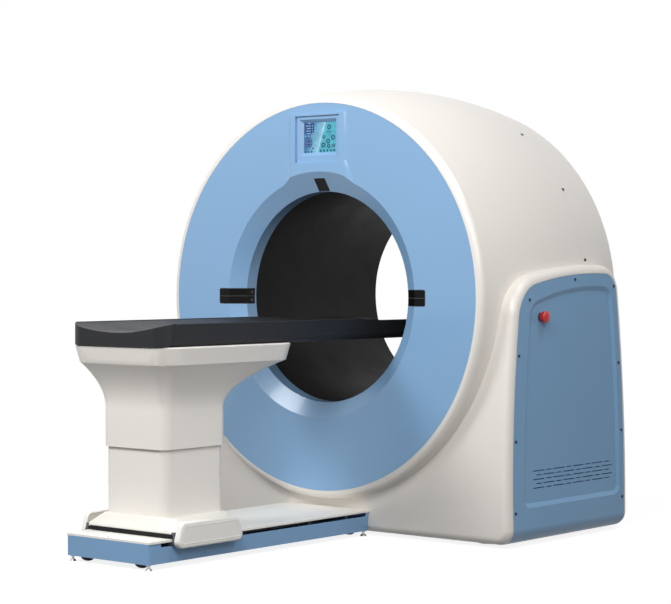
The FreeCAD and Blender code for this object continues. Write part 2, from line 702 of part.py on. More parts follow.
def side_field(name, insets, foot, start, length, shoulders, foot_radius=0):
    """A prism with the side view's outline, across the right side face."""
    stock = prism(name + "_stock", "YZ", side_path(*insets, foot), start, length)
    front_top = lambda edge: upper_edge(edge) and edge.CenterOfMass.y < value("gantry_depth / 2")
    rear_top = lambda edge: upper_edge(edge) and edge.CenterOfMass.y > value("gantry_depth / 2")
    item = rounded(name + "_front", stock, shoulders[0], front_top)
    item = rounded(name + "_rear", item, shoulders[1], rear_top)
    if foot_radius:
        item = rounded(name + "_foot", item, foot_radius, lower_edge)
    return item


def both_sides(name, item):
    """A tool on both sides of the middle plane."""
    return group(name, [item, mirrored(name + "_mirror", item)])


PANEL_EDGE = "(edge_round + panel_gap)"
BELOW = "-cover_lift"
SHOULDERS = [f"front_shoulder_radius - {PANEL_EDGE}", f"rear_shoulder_radius - {PANEL_EDGE}"]
SCREW_HEIGHTS = [(edge_y, height) for edge_y, high in ((front_y, "screw_high"), (rear_y, "screw_high_rear"))
                 for height in ("screw_low", "screw_middle", high)]
panel_screws_at = [
    (edge_y(height, f"{PANEL_EDGE} + screw_margin"), height) for edge_y, height in SCREW_HEIGHTS
] + [
    ("front_waist + front_shoulder_radius * 0.8",
     "fin_crest_height - front_shoulder_drop - front_shoulder_radius * 0.4"),
    ("fin_crest_depth - front_shoulder_radius * 0.8",
     f"fin_crest_height - {PANEL_EDGE} - screw_margin * 1.5"),
    ("rear_waist - rear_shoulder_radius", "fin_crest_height - rear_shoulder_radius * 0.72"),
]


def screws_on_panel(name, radius, start, length):
    """One rod at each panel screw, across the right side face."""
    return group(name, [rod(f"{name}_{i}", "X", (start, y, z), radius, length)
                        for i, (y, z) in enumerate(panel_screws_at, start=1)])


def build_shell():
    """Both covers in one, before the seam parts them."""
    outside = fuse("outside", turned("drum_outside", drum_path("0", "0")), side_block("block_outside", "0"))
    inside = fuse("inside", turned("drum_inside", drum_path("cover_wall", "lip_depth")),
                  side_block("block_inside", "cover_wall"))
    face_hole = rod("face_hole", "Y", (0, "-lip_depth", "iso_height"), "face_radius - face_lip",
                    "lip_depth * 3")
    face_seat = rod("face_seat", "Y", (0, "-lip_depth", "iso_height"), "face_radius",
                    "lip_depth + face_thickness + fit_gap")
    rear_hole = rod("rear_hole", "Y", (0, "gantry_depth - lip_depth * 2", "iso_height"),
                    "bore_radius + flare_width - flare_flange / 2", "lip_depth * 3")
    rear_seat = rod("rear_seat", "Y", (0, "gantry_depth - flare_sheet - fit_gap", "iso_height"),
                    "bore_radius + flare_width + fit_gap", "lip_depth * 2")
    floor_hole = box("floor_hole",
                     ("floor_opening_margin - side_half_width", "side_half_width - floor_opening_margin"),
                     ("front_waist + floor_opening_margin", "rear_waist - floor_opening_margin"),
                     ("-cover_lift", "cover_lift * 3"))
    panel_hole = side_field("panel_hole", ["edge_round"] * 3, BELOW,
                            "side_half_width - foot_round - panel_gap",
                            "foot_round * 2", ["front_shoulder_radius - edge_round",
                                               "rear_shoulder_radius - edge_round"])
    shell = cut("shell", outside, inside, face_hole, face_seat, rear_hole, rear_seat, floor_hole,
                both_sides("panel_holes", panel_hole))

    # flange behind each side panel, let into the cover's wall
    seat = "side_half_width - panel_wall - fit_gap"
    flange_foot = "cover_lift + foot_round + flange_wall"
    lap = "edge_round - flange_width / 2"
    hem = "edge_round + flange_width"
    outer = side_field("flange_outside", [lap] * 3, flange_foot, f"{seat} - flange_wall", "flange_wall",
                       [f"front_shoulder_radius - ({lap})", f"rear_shoulder_radius - ({lap})"])
    inner = side_field("flange_inside", [hem] * 3, BELOW, f"{seat} - flange_wall * 2", "flange_wall * 4",
                       [f"front_shoulder_radius - ({hem})", f"rear_shoulder_radius - ({hem})"])
    flange = cut("flange", outer, inner,
                 screws_on_panel("flange_screw_holes", "screw_shank_radius + fit_gap / 3",
                                 "side_half_width - screw_length", "screw_length * 2"))
    return outside, fuse("shell_with_flanges", shell, flange, mirrored("flange_mirror", flange))


def cover_screw_rods(name, radius, start, length):
    """Rods that point at the bore axis, one at each cover screw."""
    rods = []
    for step in range(int(value("cover_screws_per_side"))):
        for sign in (-1, 1):
            angle = f"(cover_screw_angle + {step} * cover_screw_step)"
            item = rod(f"{name}_{step}_{'left' if sign < 0 else 'right'}", "Z", (0, 0, 0), radius, length)
            place(item, f"{sign} * ({start}) * sin({angle})", "cover_screw_depth",
                  f"iso_height + ({start}) * cos({angle})")
            rods.append(tilt(item, sign, angle))
    return group(name, rods)


def build_covers(shell):
    """Front and rear cover, with the tongue that they are screwed together through."""
    middle = "iso_height - drum_crown_radius * 2"
    reach = ("-side_half_width * 1.2", "side_half_width * 1.2")
    heights = (middle, "iso_height + drum_crown_radius * 1.2")
    front_half = box("front_half", reach, ("-lip_depth", "seam_depth - seam_gap / 2"), heights)
    rear_half = box("rear_half", reach, ("seam_depth + seam_gap / 2", "gantry_depth * 1.2"), heights)

    # tongue of the front cover, under the edge of the rear cover
    tip = "seam_depth + tongue_length"
    root = "seam_depth - tongue_length / 2"
    outer_radius = f"{drum_radius(tip)} - cover_wall - fit_gap"
    inner_radius = f"{outer_radius} - cover_wall / 2"
    root_radius = f"{drum_radius('seam_depth')} - cover_wall / 2"
    ring = turned("tongue_ring", [
        (root, inner_radius), (tip, inner_radius), (tip, outer_radius),
        ("seam_depth - seam_gap / 2", outer_radius),
        ("seam_depth - seam_gap / 2", root_radius), (root, root_radius)])
    above_blocks = box("above_blocks", reach, (root, tip), ("fin_crest_height + edge_round", heights[1]))
    tongue = cut("tongue", common("tongue_arch", ring, above_blocks),
                 cover_screw_rods("tongue_screw_holes", "screw_shank_radius + fit_gap / 3",
                                  f"{outer_radius} - screw_length", "screw_length * 2"))
    node("front_cover", fuse("front_cover", common("front_shell", shell, front_half), tongue))
    seat_radius = drum_radius("cover_screw_depth")
    holes = cover_screw_rods("cover_screw_holes", "screw_shank_radius + fit_gap",
                             f"{seat_radius} - screw_length",
                             "screw_length * 2")
    seats = cover_screw_rods("cover_screw_seats", "screw_head_radius + fit_gap", seat_radius,
                             "screw_head_height")
    node("rear_cover", cut("rear_cover", common("rear_shell", shell, rear_half), holes, seats))
    heads = cover_screw_rods("cover_screw_heads", "screw_head_radius", seat_radius, "screw_head_height")
    shanks = cover_screw_rods("cover_screw_shanks", "screw_shank_radius", f"{seat_radius} - screw_length",
                              "screw_length")
    screws = [fuse(f"cover_screw_{i}", head, shank)
              for i, (head, shank) in enumerate(zip(heads.Links, shanks.Links), start=1)]
    node("cover_screws", group("cover_screws", screws))


def vent_slots():
    """Rows of long and short slots; every second row starts with a short one."""
    slots = []
    for row in range(int(value("vent_rows"))):
        lengths = ["vent_long", "vent_short"] if row % 2 == 0 else ["vent_short", "vent_long"]
        start = "vent_start" if row % 2 == 0 else "vent_start + vent_shift"
        low = f"vent_low + {row} * vent_row_pitch"
        for step in range(int(value("vent_count"))):
            length = lengths[step % 2]
            slots.append(box(f"vent_{row}_{step}",
                             ("side_half_width - foot_round", "side_half_width + foot_round"),
                             (start, f"{start} + {length}"), (low, f"{low} + vent_height")))
            start = f"{start} + {length} + vent_bridge"
    return group("vent_slots", slots)


def build_side_panels(outside):
    """The coloured panel over each side, with its recessed field, vents and screws."""
    stock = side_field("panel_stock", [PANEL_EDGE] * 3, BELOW, "side_half_width - foot_round",
                       "foot_round * 2",
                       SHOULDERS)
    skin = cut("panel_skin", common("panel_solid", outside, stock),
               side_block("panel_inside", "panel_wall"))
    margins = [f"{PANEL_EDGE} + recess_{side}_margin" for side in ("front", "top", "rear")]

    def field(name, grow, start, length):
        return side_field(name, [f"{margin} - ({grow})" for margin in margins], f"recess_foot - ({grow})",
                          start,
                          length, [f"recess_shoulder_radius + {grow}"] * 2, f"recess_foot_radius + {grow}")

    floor_x = "side_half_width - recess_depth"
    tray = field("recess_tray", "recess_bevel_width + panel_wall / 2", f"{floor_x} - panel_wall",
                 "recess_depth")
    hollow = field("recess_hollow", "0", floor_x, "recess_depth * 2")
    tray_panel = cut("panel_with_recess", fuse("panel_with_tray", skin, tray), hollow)
    doc.recompute()

    def recess_mouth(edge):
        middle = edge.valueAt((edge.FirstParameter + edge.LastParameter) / 2)
        return lies_at(edge, "X",
                       "side_half_width") and hollow.Shape.distToShape(Part.Vertex(middle))[0] < 0.01

    bevelled = edged("Part::Chamfer", "panel_bevelled", tray_panel, ("recess_bevel_width", "recess_bevel"),
                     recess_mouth)
    holes = screws_on_panel("panel_screw_holes", "screw_shank_radius + fit_gap",
                            "side_half_width - foot_round",
                            "foot_round * 2")
    stop_hole = rod("stop_hole", "X", ("side_half_width - foot_round", "stop_depth", "stop_height"),
                    "stop_collar_radius * 0.75", "foot_round * 2")
    vents = vent_slots()
    node("side_panel_right", cut("side_panel_right", bevelled, vents, holes, stop_hole))
    source = cut("panel_mirror_source", bevelled, vents, holes, stop_hole)
    node("side_panel_left", mirrored("side_panel_left", source))
    heads = screws_on_panel("panel_screw_heads", "screw_head_radius", "side_half_width",
                            "screw_head_height")
    shanks = screws_on_panel("panel_screw_shanks", "screw_shank_radius", "side_half_width - screw_length",
                             "screw_length")
    screws = [fuse(f"panel_screw_{i}", head, shank)
              for i, (head, shank) in enumerate(zip(heads.Links, shanks.Links), start=1)]
    right = group("panel_screws_right", screws)
    node("panel_screws", group("panel_screws", [right, mirrored("panel_screws_left", right)]))


def build_emergency_stop():
    """A mushroom button in the recessed field of each side."""
    floor_x = "side_half_width - recess_depth"
    at = ("stop_depth", "stop_height")
    hole = "stop_stem_radius + fit_gap"
    back = f"{floor_x} - panel_wall - stop_collar_height * 2"
    collar = fuse("stop_collar_solid",
                  taper("stop_collar_cone", "X", (floor_x, *at), "stop_collar_radius",
                        "stop_collar_radius * 0.86",
                        "stop_collar_height"),
                  rod("stop_thread", "X", (back, *at), "stop_collar_radius * 0.75 - fit_gap",
                      f"{floor_x} - ({back})"),
                  box("stop_block", (f"{back} - stop_collar_height * 2", back),
                      ("stop_depth - stop_collar_radius", "stop_depth + stop_collar_radius"),
                      ("stop_height - stop_collar_radius", "stop_height + stop_collar_radius")))
    bore = rod("stop_bore", "X", (f"{back} - stop_collar_height", *at), hole, "stop_collar_height * 6")
    collar = cut("stop_collar", collar, bore)
    node("stop_collars", group("stop_collars", [collar, mirrored("stop_collar_left", collar)]))
    head_start = f"{floor_x} + stop_collar_height + stop_travel + fit_gap"
    stem_start = f"{back} - stop_collar_height + stop_travel + fit_gap"
    head = turned("stop_head", [
        ("0", 0), ("0", "stop_button_radius * 0.62"), ("stop_button_height * 0.4", "stop_button_radius"),
        ("stop_button_height * 0.72", "stop_button_radius * 0.93", "stop_button_height * 0.9",
         "stop_button_radius * 0.7"),
        ("stop_button_height", 0)], axis="X", centre=(head_start, *at))
    stem = rod("stop_stem", "X", (stem_start, *at), "stop_stem_radius",
               f"{head_start} - ({stem_start}) + stop_travel / 2")
    button = fuse("stop_button_right", head, stem)
    node("stop_button_right", button)
    node("stop_button_left", mirrored("stop_button_left", fuse("stop_button_source", head, stem)))


# ---------------------------------------------------------------- front face, display, windows, liner

def cone_radius(depth):
    return f"face_inner_radius - ({depth}) * (face_inner_radius - bore_radius) / cone_depth"


def laser_slot(name, side, gap):
    """The space of a laser window on the left (-1) or right (1) of the bore."""
    ends = ["bore_radius * 0.8", f"laser_reach - ({gap})"]
    ends = ends if side > 0 else [f"-({ends[1]})", f"-({ends[0]})"]
    stock = box(name + "_stock", ends, ("-lip_depth", f"laser_depth - ({gap})"),
                (f"iso_height - laser_half_width + {gap}", f"iso_height + laser_half_width - {gap}"))
    corner = lambda edge: runs_along("Y", edge) and abs(edge.CenterOfMass.x) > value("bore_radius")
    return rounded(name, stock, f"laser_corner - ({gap})", corner)


def top_laser_slot(name, gap):
    return box(name, (f"{gap} - top_laser_half_width", f"top_laser_half_width - {gap}"),
               (f"top_laser_start + {gap}", f"cone_depth - {gap}"),
               ("iso_height + bore_radius * 0.9", "iso_height + face_inner_radius * 1.05"))


def boss_section(name, rise, flank, height):
    """The display block cut across: flat in front, with a slope down to the face on each side."""
    back = "face_thickness / 2"
    half = "boss_half_width"
    path = [(f"-{half} - {flank}", back), (f"{half} + {flank}", back), (f"{half} + {flank}", "0"),
            (half, f"-({rise})"), (f"-{half}", f"-({rise})"), (f"-{half} - {flank}", "0")]
    return outline(name, "XY", path, (0, 0, height))


def build_face():
    """The flat ring with the cone and band of the bore, the display block and the openings."""
    back = "face_thickness"
    face = turned("face_sheet", [
        ("0", "face_radius - fit_gap"), ("0", "face_inner_radius"), ("cone_depth", "bore_radius"),
        ("cone_band_depth", "bore_radius"), ("cone_band_depth", f"bore_radius + {back}"),
        (f"cone_depth + {back} / 2", f"bore_radius + {back}"), (back, f"face_inner_radius + {back} / 3"),
        (back, "face_radius - fit_gap")])
    toe_share = "boss_toe_height / (boss_top - boss_foot)"
    boss = lofted("boss_stock", [
        boss_section("boss_foot_section", "boss_foot_rise", "boss_toe", "boss_foot"),
        boss_section("boss_toe_section", f"boss_foot_rise - (boss_foot_rise - boss_top_rise) * {toe_share}",
                     "boss_flank", "boss_foot + boss_toe_height"),
        boss_section("boss_top_section", "boss_top_rise", "boss_flank", "boss_top")], ruled=True)
    mouth = taper("boss_mouth", "Y", (0, "-cone_depth", "iso_height"), cone_radius("-cone_depth"),
                  cone_radius("cone_depth"), "cone_depth * 2")
    boss = cut("boss", boss, mouth)
    frame_hole = box("bezel_hole", ("-bezel_half_width", "bezel_half_width"), ("-cone_depth", "cone_depth"),
                     ("bezel_foot", "bezel_top"))
    slots = [laser_slot("laser_slot_right", 1, "0"), laser_slot("laser_slot_left", -1, "0"),
             top_laser_slot("laser_slot_top", "0")]
    node("front_face", cut("front_face", fuse("face_with_boss", face, boss), frame_hole, *slots))
    panes = [laser_slot("laser_pane_right", 1, "laser_gap"), laser_slot("laser_pane_left", -1, "laser_gap"),
             top_laser_slot("laser_pane_top", "laser_gap")]
    node("laser_windows", common("laser_windows", face, group("laser_panes", panes)))


def build_display():
    """A bevelled frame, the screen behind it and its housing."""
    rise = "bezel_rise"
    frame = box("bezel_stock", ("fit_gap - bezel_half_width", "bezel_half_width - fit_gap"),
                (f"-{rise}", "window_bevel - " + rise + " + screen_glass"),
                ("bezel_foot + fit_gap", "bezel_top - fit_gap"))
    path = [("-window_half_width", "window_foot"), ("window_half_width", "window_foot"),
            ("window_half_width", "window_top"), ("-window_half_width", "window_top")]
    bevel = prism("window_bevel_space", "XZ", path, f"-{rise}", "window_bevel", "-45")
    inner = "window_half_width - window_bevel"
    through = box("window_space", (f"-({inner})", inner), ("-cone_depth", "cone_depth"),
                  ("window_foot + window_bevel", "window_top - window_bevel"))
    seat = f"window_bevel - {rise}"
    lap = "window_half_width - window_bevel + screen_lap"
    glass_space = box("glass_space", (f"-({lap}) - fit_gap", f"{lap} + fit_gap"), (seat, "cone_depth"),
                      ("window_foot + window_bevel - screen_lap - fit_gap",
                       "window_top - window_bevel + screen_lap + fit_gap"))
    node("display_frame", cut("display_frame", frame, bevel, through, glass_space))
    node("display_screen", box("display_screen", (f"-({lap})", lap), (seat, f"{seat} + screen_glass"),
                               ("window_foot + window_bevel - screen_lap",
                                "window_top - window_bevel + screen_lap")))
    rear = f"{seat} + screen_glass"
    unit = fuse("display_unit",
                box("display_unit_box", ("-window_half_width", "window_half_width"),
                    (rear, f"{rear} + display_unit_depth"),
                    ("window_foot", "window_top")),
                box("display_unit_plug", ("-window_half_width / 4", "window_half_width / 4"),
                    (rear, f"{rear} + display_unit_depth * 1.3"),
                    ("window_foot + window_bevel", "window_foot + window_bevel * 2")))
    node("display_unit", unit)


def build_lasers():
    """A positioning laser behind each window."""
    ring = "bore_radius + face_thickness + fit_gap"
    lens = "laser_lens_radius"
    half = "laser_unit_height / 2"
    start = "cone_depth + face_thickness"
    side = fuse("laser_unit_right",
                box("laser_box", (f"{ring} + {lens}", f"{ring} + {lens} + laser_unit_height"),
                    (start, f"{start} + laser_unit_depth"),
                    (f"iso_height - {half}", f"iso_height + {half}")),
                rod("laser_lens", "X", (ring, f"{start} + laser_unit_depth / 2", "iso_height"), lens,
                    f"{lens} * 2"),
                box("laser_bracket", (f"laser_reach - {lens}", f"laser_reach + {lens} * 2"),
                    ("face_thickness + fit_gap", start), (f"iso_height - {half}", f"iso_height + {half}")),
                box("laser_arm", (f"{ring} + {lens}", f"laser_reach + {lens} * 2"),
                    (start, f"{start} + face_thickness * 2"),
                    (f"iso_height - {half}", f"iso_height + {half}")))
    top = fuse("laser_unit_top",
               box("laser_top_box", (f"-{half}", half),
                   ("cone_depth + face_thickness * 1.5", "cone_band_depth"),
                   (f"iso_height + {ring} + face_thickness", f"iso_height + {ring} + laser_unit_length")),
               rod("laser_top_foot", "Z",
                   ("-laser_unit_height / 4", "cone_depth * 1.6", f"iso_height + {ring}"),
                   lens, "face_thickness * 2"),
               rod("laser_top_lens", "Y", (0, "face_thickness + fit_gap + cone_depth / 2",
                                           "iso_height + face_inner_radius"), lens, "cone_depth"))
    node("laser_units", group("laser_units", [side, mirrored("laser_unit_left", side), top]))


def build_liner():
    """The dark lining of the bore, with its flare and flat rim at the rear."""
    sheet = "face_thickness"
    node("bore_liner", turned("bore_liner", [
        ("cone_band_depth + fit_gap", "bore_radius"), ("liner_end", "bore_radius"),
        ("gantry_depth - flare_sheet", "bore_radius + flare_width - flare_flange - flare_sheet"),
        ("gantry_depth", "bore_radius + flare_width - flare_flange"),
        ("gantry_depth", "bore_radius + flare_width"),
        ("gantry_depth - flare_sheet", "bore_radius + flare_width"),
        ("gantry_depth - flare_sheet", f"bore_radius + flare_width - flare_flange + {sheet}"),
        ("liner_end", f"bore_radius + {sheet}"), ("cone_band_depth + fit_gap", f"bore_radius + {sheet}")]))


# ---------------------------------------------------------------- gantry frame

def build_gantry_frame():
    """Welded floor frame of hollow beams, with the plate that carries the bearing."""
    half = "beam_width / 2"
    inner = f"beam_half_span - {half}"
    outer = f"beam_half_span + {half}"
    heights = ("beam_foot", "beam_top")
    beams = [box("beam_right", (inner, outer), ("beam_front", "beam_rear"), heights),
             box("beam_left", (f"-({outer})", f"-({inner})"), ("beam_front", "beam_rear"), heights)]
    across = [("front", "beam_front"), ("middle", "stator_depth - beam_width / 2"),
              ("rear", "beam_rear - beam_width")]
    for name, start in across:
        beams.append(box(f"beam_{name}", (f"-({inner})", inner), (start, f"{start} + beam_width"), heights))
    for name, start in (("front", "beam_front"), ("rear", "beam_rear - bracket_length")):
        bracket = box(f"bracket_{name}", (f"{outer} - beam_sheet", f"{outer} + bracket_reach"),
                      (start, f"{start} + bracket_length"),
                      ("cover_lift + cover_wall + fit_gap", "beam_foot + beam_sheet"))
        beams.append(both_sides(f"brackets_{name}", bracket))
    studs = [rod(f"stud_hole_{i}", "Z", (x, y, 0), "gantry_stud_radius + fit_gap", "beam_top * 2")
             for i, (x, y) in enumerate(gantry_feet_at, start=1)]
    node("floor_frame", cut("floor_frame", fuse("floor_beams", *beams), *studs))
    feet = []
    for i, (x, y) in enumerate(gantry_feet_at, start=1):
        pad_item = taper(f"gantry_pad_{i}", "Z", (x, y, 0), "gantry_foot_radius",
                         "gantry_foot_radius * 0.8",
                         "gantry_foot_height")
        stud = rod(f"gantry_stud_{i}", "Z", (x, y, 0), "gantry_stud_radius", "beam_top + beam_foot")
        nut_low = rod(f"gantry_nut_{i}", "Z", (x, y, "beam_foot - gantry_stud_radius"),
                      "gantry_stud_radius * 1.8",
                      "gantry_stud_radius")
        feet.append(fuse(f"gantry_foot_{i}", pad_item, stud, nut_low))
    node("gantry_feet", group("gantry_feet", feet))

    foot = box("stator_foot", ("-stator_foot_half_width", "stator_foot_half_width"),
               ("stator_depth", "stator_depth + stator_plate"), ("beam_top", "iso_height"))
    disc = rod("stator_disc", "Y", (0, "stator_depth", "iso_height"), "stator_radius", "stator_plate")
    bore = rod("stator_bore", "Y", (0, "stator_depth - stator_plate", "iso_height"), "bearing_radius",
               "stator_plate * 3")
    node("stator_plate", cut("stator_plate", fuse("stator_solid", foot, disc), bore))


gantry_feet_at = [(x, y) for x in ("-beam_half_span", "beam_half_span")
                  for y in ("beam_front + gantry_foot_inset", "beam_rear - gantry_foot_inset")]


# ---------------------------------------------------------------- bearing and rotor

def build_bearing():
    """Two grooved races and the balls between them."""
    front = "stator_depth + stator_plate / 2 - bearing_width / 2"
    middle = f"{front} + bearing_width / 2"
    groove = "ball_radius + ball_gap"
    half = f"sqrt(({groove})^2 - (race_gap / 2)^2)"

    def race(name, wall, side):
        lip = f"ball_pitch_radius + {side} * race_gap / 2"
        return turned(name, [
            (front, wall), (front, lip), (f"{middle} - {half}", lip),
            (middle, f"ball_pitch_radius + {side} * ({groove})", f"{middle} + {half}", lip),
            (f"{front} + bearing_width", lip), (f"{front} + bearing_width", wall)])

    node("bearing_outer_race", race("bearing_outer_race", "bearing_radius - fit_gap", 1))
    node("bearing_inner_race", race("bearing_inner_race", "bearing_bore", -1))
    balls = []
    for step in range(int(value("ball_count"))):
        ball = doc.addObject("Part::Sphere", f"ball_{step}")
        bind(ball, {"Radius": "ball_radius"})
        angle = f"{step} * 360 / ball_count"
        balls.append(place(ball, f"ball_pitch_radius * cos({angle})", middle,
                           f"iso_height + ball_pitch_radius * sin({angle})"))
    node("bearing_balls", group("bearing_balls", balls))


def build_rotor():
    """The turning plate with its hub, belt rim and what it carries round the patient."""
    rim_front = "rotor_depth + rotor_plate / 2 - rotor_rim / 2"
    hub = "bearing_bore - fit_gap"
    node("rotor_frame", turned("rotor_frame", [
        ("rotor_depth", "rotor_hub_radius"), ("rotor_depth", "rotor_radius - rotor_plate"),
        (rim_front, "rotor_radius - rotor_plate"), (rim_front, "rotor_radius"),
        (f"{rim_front} + rotor_rim", "rotor_radius"),
        (f"{rim_front} + rotor_rim", "rotor_radius - rotor_plate"),
        ("rotor_depth + rotor_plate", "rotor_radius - rotor_plate"), ("rotor_depth + rotor_plate", hub),
        ("rotor_hub_end", hub), ("rotor_hub_end", "rotor_hub_radius")]))
    focus = "iso_height + tube_orbit"
    body_start = "rotor_front + tube_neck"
    node("xray_tube", fuse("xray_tube",
                           rod("tube_body", "Y", (0, body_start, focus), "tube_radius",
                               f"rotor_depth - ({body_start})"),
                           taper("tube_end", "Y", (0, "rotor_front", focus), "tube_neck_radius",
                                 "tube_radius",
                                 "tube_neck")))
    window = "iso_height + bore_radius + face_thickness * 4"
    box_top = f"{focus} - tube_radius - fit_gap"
    depths = ("detector_front", "rotor_depth")
    housing = box("collimator_box", ("-collimator_half_width", "collimator_half_width"), depths,
                  (window, box_top))
    fan = box("collimator_slot", ("-collimator_half_width * 0.8", "collimator_half_width * 0.8"),
              ("detector_front + rotor_plate * 2", "detector_front + rotor_plate * 2 + collimator_slot"),
              (f"{window} - face_thickness", f"{box_top} + face_thickness"))
    node("collimator", cut("collimator", housing, fan))

    def on_arc(radius, angle):
        return (f"({radius}) * sin({angle})", f"{focus} - ({radius}) * cos({angle})")

    near = "detector_distance"
    far = "detector_distance + detector_thickness"
    edge = "detector_half_angle"
    node("detector_arc", prism("detector_arc", "XZ", [
        on_arc(near, f"-{edge}"), (*on_arc(near, "0"), *on_arc(near, edge)), on_arc(far, edge),
        (*on_arc(far, "0"), *on_arc(far, f"-{edge}"))], "detector_front", "rotor_depth - detector_front"))
    heights = ("iso_height - generator_half_height", "iso_height + generator_half_height")
    for label, sides in (("high_voltage_generator", ("-generator_outer", "-generator_inner")),
                         ("tube_cooler", ("generator_inner", "generator_outer"))):
        stock = box(label + "_stock", sides, ("generator_front", "rotor_depth"), heights)
        node(label, rounded(label, stock, "rotor_plate / 2", lambda edge: runs_along("Y", edge)))
    weights = []
    for i, sign in enumerate((1, -1), start=1):
        stock = box(f"weight_{i}", ("-weight_half_length", "weight_half_length"),
                    ("rotor_depth - weight_thickness * 2", "rotor_depth"),
                    ("weight_radius - weight_thickness * 1.5", "weight_radius"))
        tilted = group(f"weight_turned_{i}", [stock])
        place(tilted, 0, 0, "iso_height")
        weights.append(tilt(tilted, sign, "weight_angle"))
    node("counterweights", group("counterweights", weights))
    node("slip_ring", tube("slip_ring", "Y", (0, "slip_ring_depth", "iso_height"), "slip_ring_radius",
                           "bearing_bore + fit_gap / 3", "slip_ring_plate"))
    brush_front = "stator_depth + stator_plate"
    node("brush_block", box("brush_block", ("-brush_half_width", "brush_half_width"),
                            (brush_front, "slip_ring_depth - fit_gap"),
                            ("iso_height - slip_ring_radius",
                             "iso_height - slip_ring_radius + brush_length")))


def build_rotor_drive():
    """Motor, pulley and flat belt round the rotor's rim."""
    belt_front = "rotor_depth + rotor_plate / 2 - belt_width / 2"
    distance = "sqrt(pulley_x^2 + (iso_height - pulley_z)^2)"
    lean = "atan((iso_height - pulley_z) / pulley_x)"

    def loop(name, grow):
        big = f"rotor_radius + {grow}"
        small = f"pulley_radius + {grow}"
        turn = f"acos((rotor_radius - pulley_radius) / {distance})"

        def on(centre, radius, angle):
            return (f"{centre[0]} + ({radius}) * cos({angle})", f"{centre[1]} + ({radius}) * sin({angle})")

        rotor_axis = ("0", "iso_height")
        pulley_axis = ("pulley_x", "pulley_z")
        upper = f"-{lean} + {turn}"
        lower = f"-{lean} - {turn}"
        return prism(name, "XZ", [
            on(rotor_axis, big, upper), on(pulley_axis, small, upper),
            (*on(pulley_axis, small, f"-{lean}"), *on(pulley_axis, small, lower)),
            on(rotor_axis, big, lower),
            (*on(rotor_axis, big, f"180 deg - {lean}"), *on(rotor_axis, big, upper))], belt_front,
            "belt_width")

    node("drive_belt", cut("drive_belt", loop("belt_outside", "belt_gap + belt_thickness"),
                           loop("belt_inside", "belt_gap")))
    pulley_front = "rotor_depth + rotor_plate / 2 - rotor_rim / 2"
    at = ("pulley_x", "pulley_z")
    motor_front = f"{pulley_front} + rotor_rim + fit_gap"
    pulley = cut("motor_pulley",
                 rod("pulley_wheel", "Y", (at[0], pulley_front, at[1]), "pulley_radius", "rotor_rim"),
                 rod("pulley_bore", "Y", (at[0], f"{pulley_front} - fit_gap", at[1]),
                     "motor_shaft_radius + fit_gap / 10",
                     "rotor_rim * 2"),
                 *[rod(f"pulley_hole_{i}", "Y", (f"pulley_x + pulley_radius * 0.6 * cos({i} * 72)",
                                                 f"{pulley_front} - fit_gap",
                                                 f"pulley_z + pulley_radius * 0.6 * sin({i} * 72)"),
                       "motor_shaft_radius * 0.6", "rotor_rim * 2") for i in range(5)])
    node("motor_pulley", pulley)
    motor = fuse("rotor_motor",
                 rod("motor_can", "Y", (at[0], motor_front, at[1]), "motor_radius", "motor_length"),
                 rod("motor_shaft", "Y", (at[0], f"{pulley_front} - fit_gap", at[1]), "motor_shaft_radius",
                     "rotor_rim * 2"),
                 box("motor_foot", ("pulley_x - beam_width / 2", "pulley_x + beam_width / 2 - belt_gap"),
                     (f"{motor_front} + motor_radius / 2", f"{motor_front} + motor_length"),
                     ("beam_top", "pulley_z")))
    node("rotor_motor", motor)


# ---------------------------------------------------------------- table base

BASE_END = f"({front_y('base_top + top_plate')} - fit_gap)"


def corner_points(sign_x, ends):
    return [(f"{sign} * ({sign_x})", end) for sign in (-1, 1) for end in ends]


TABLE_FEET = corner_points("base_half_width - table_foot_inset",
                           ("table_foot_inset - table_reach", f"{BASE_END} - table_foot_inset"))
CASTERS = dict(zip(("front_left", "rear_left", "front_right", "rear_right"),
                   corner_points("caster_x", ("caster_inset - table_reach", f"{BASE_END} - caster_inset"))))


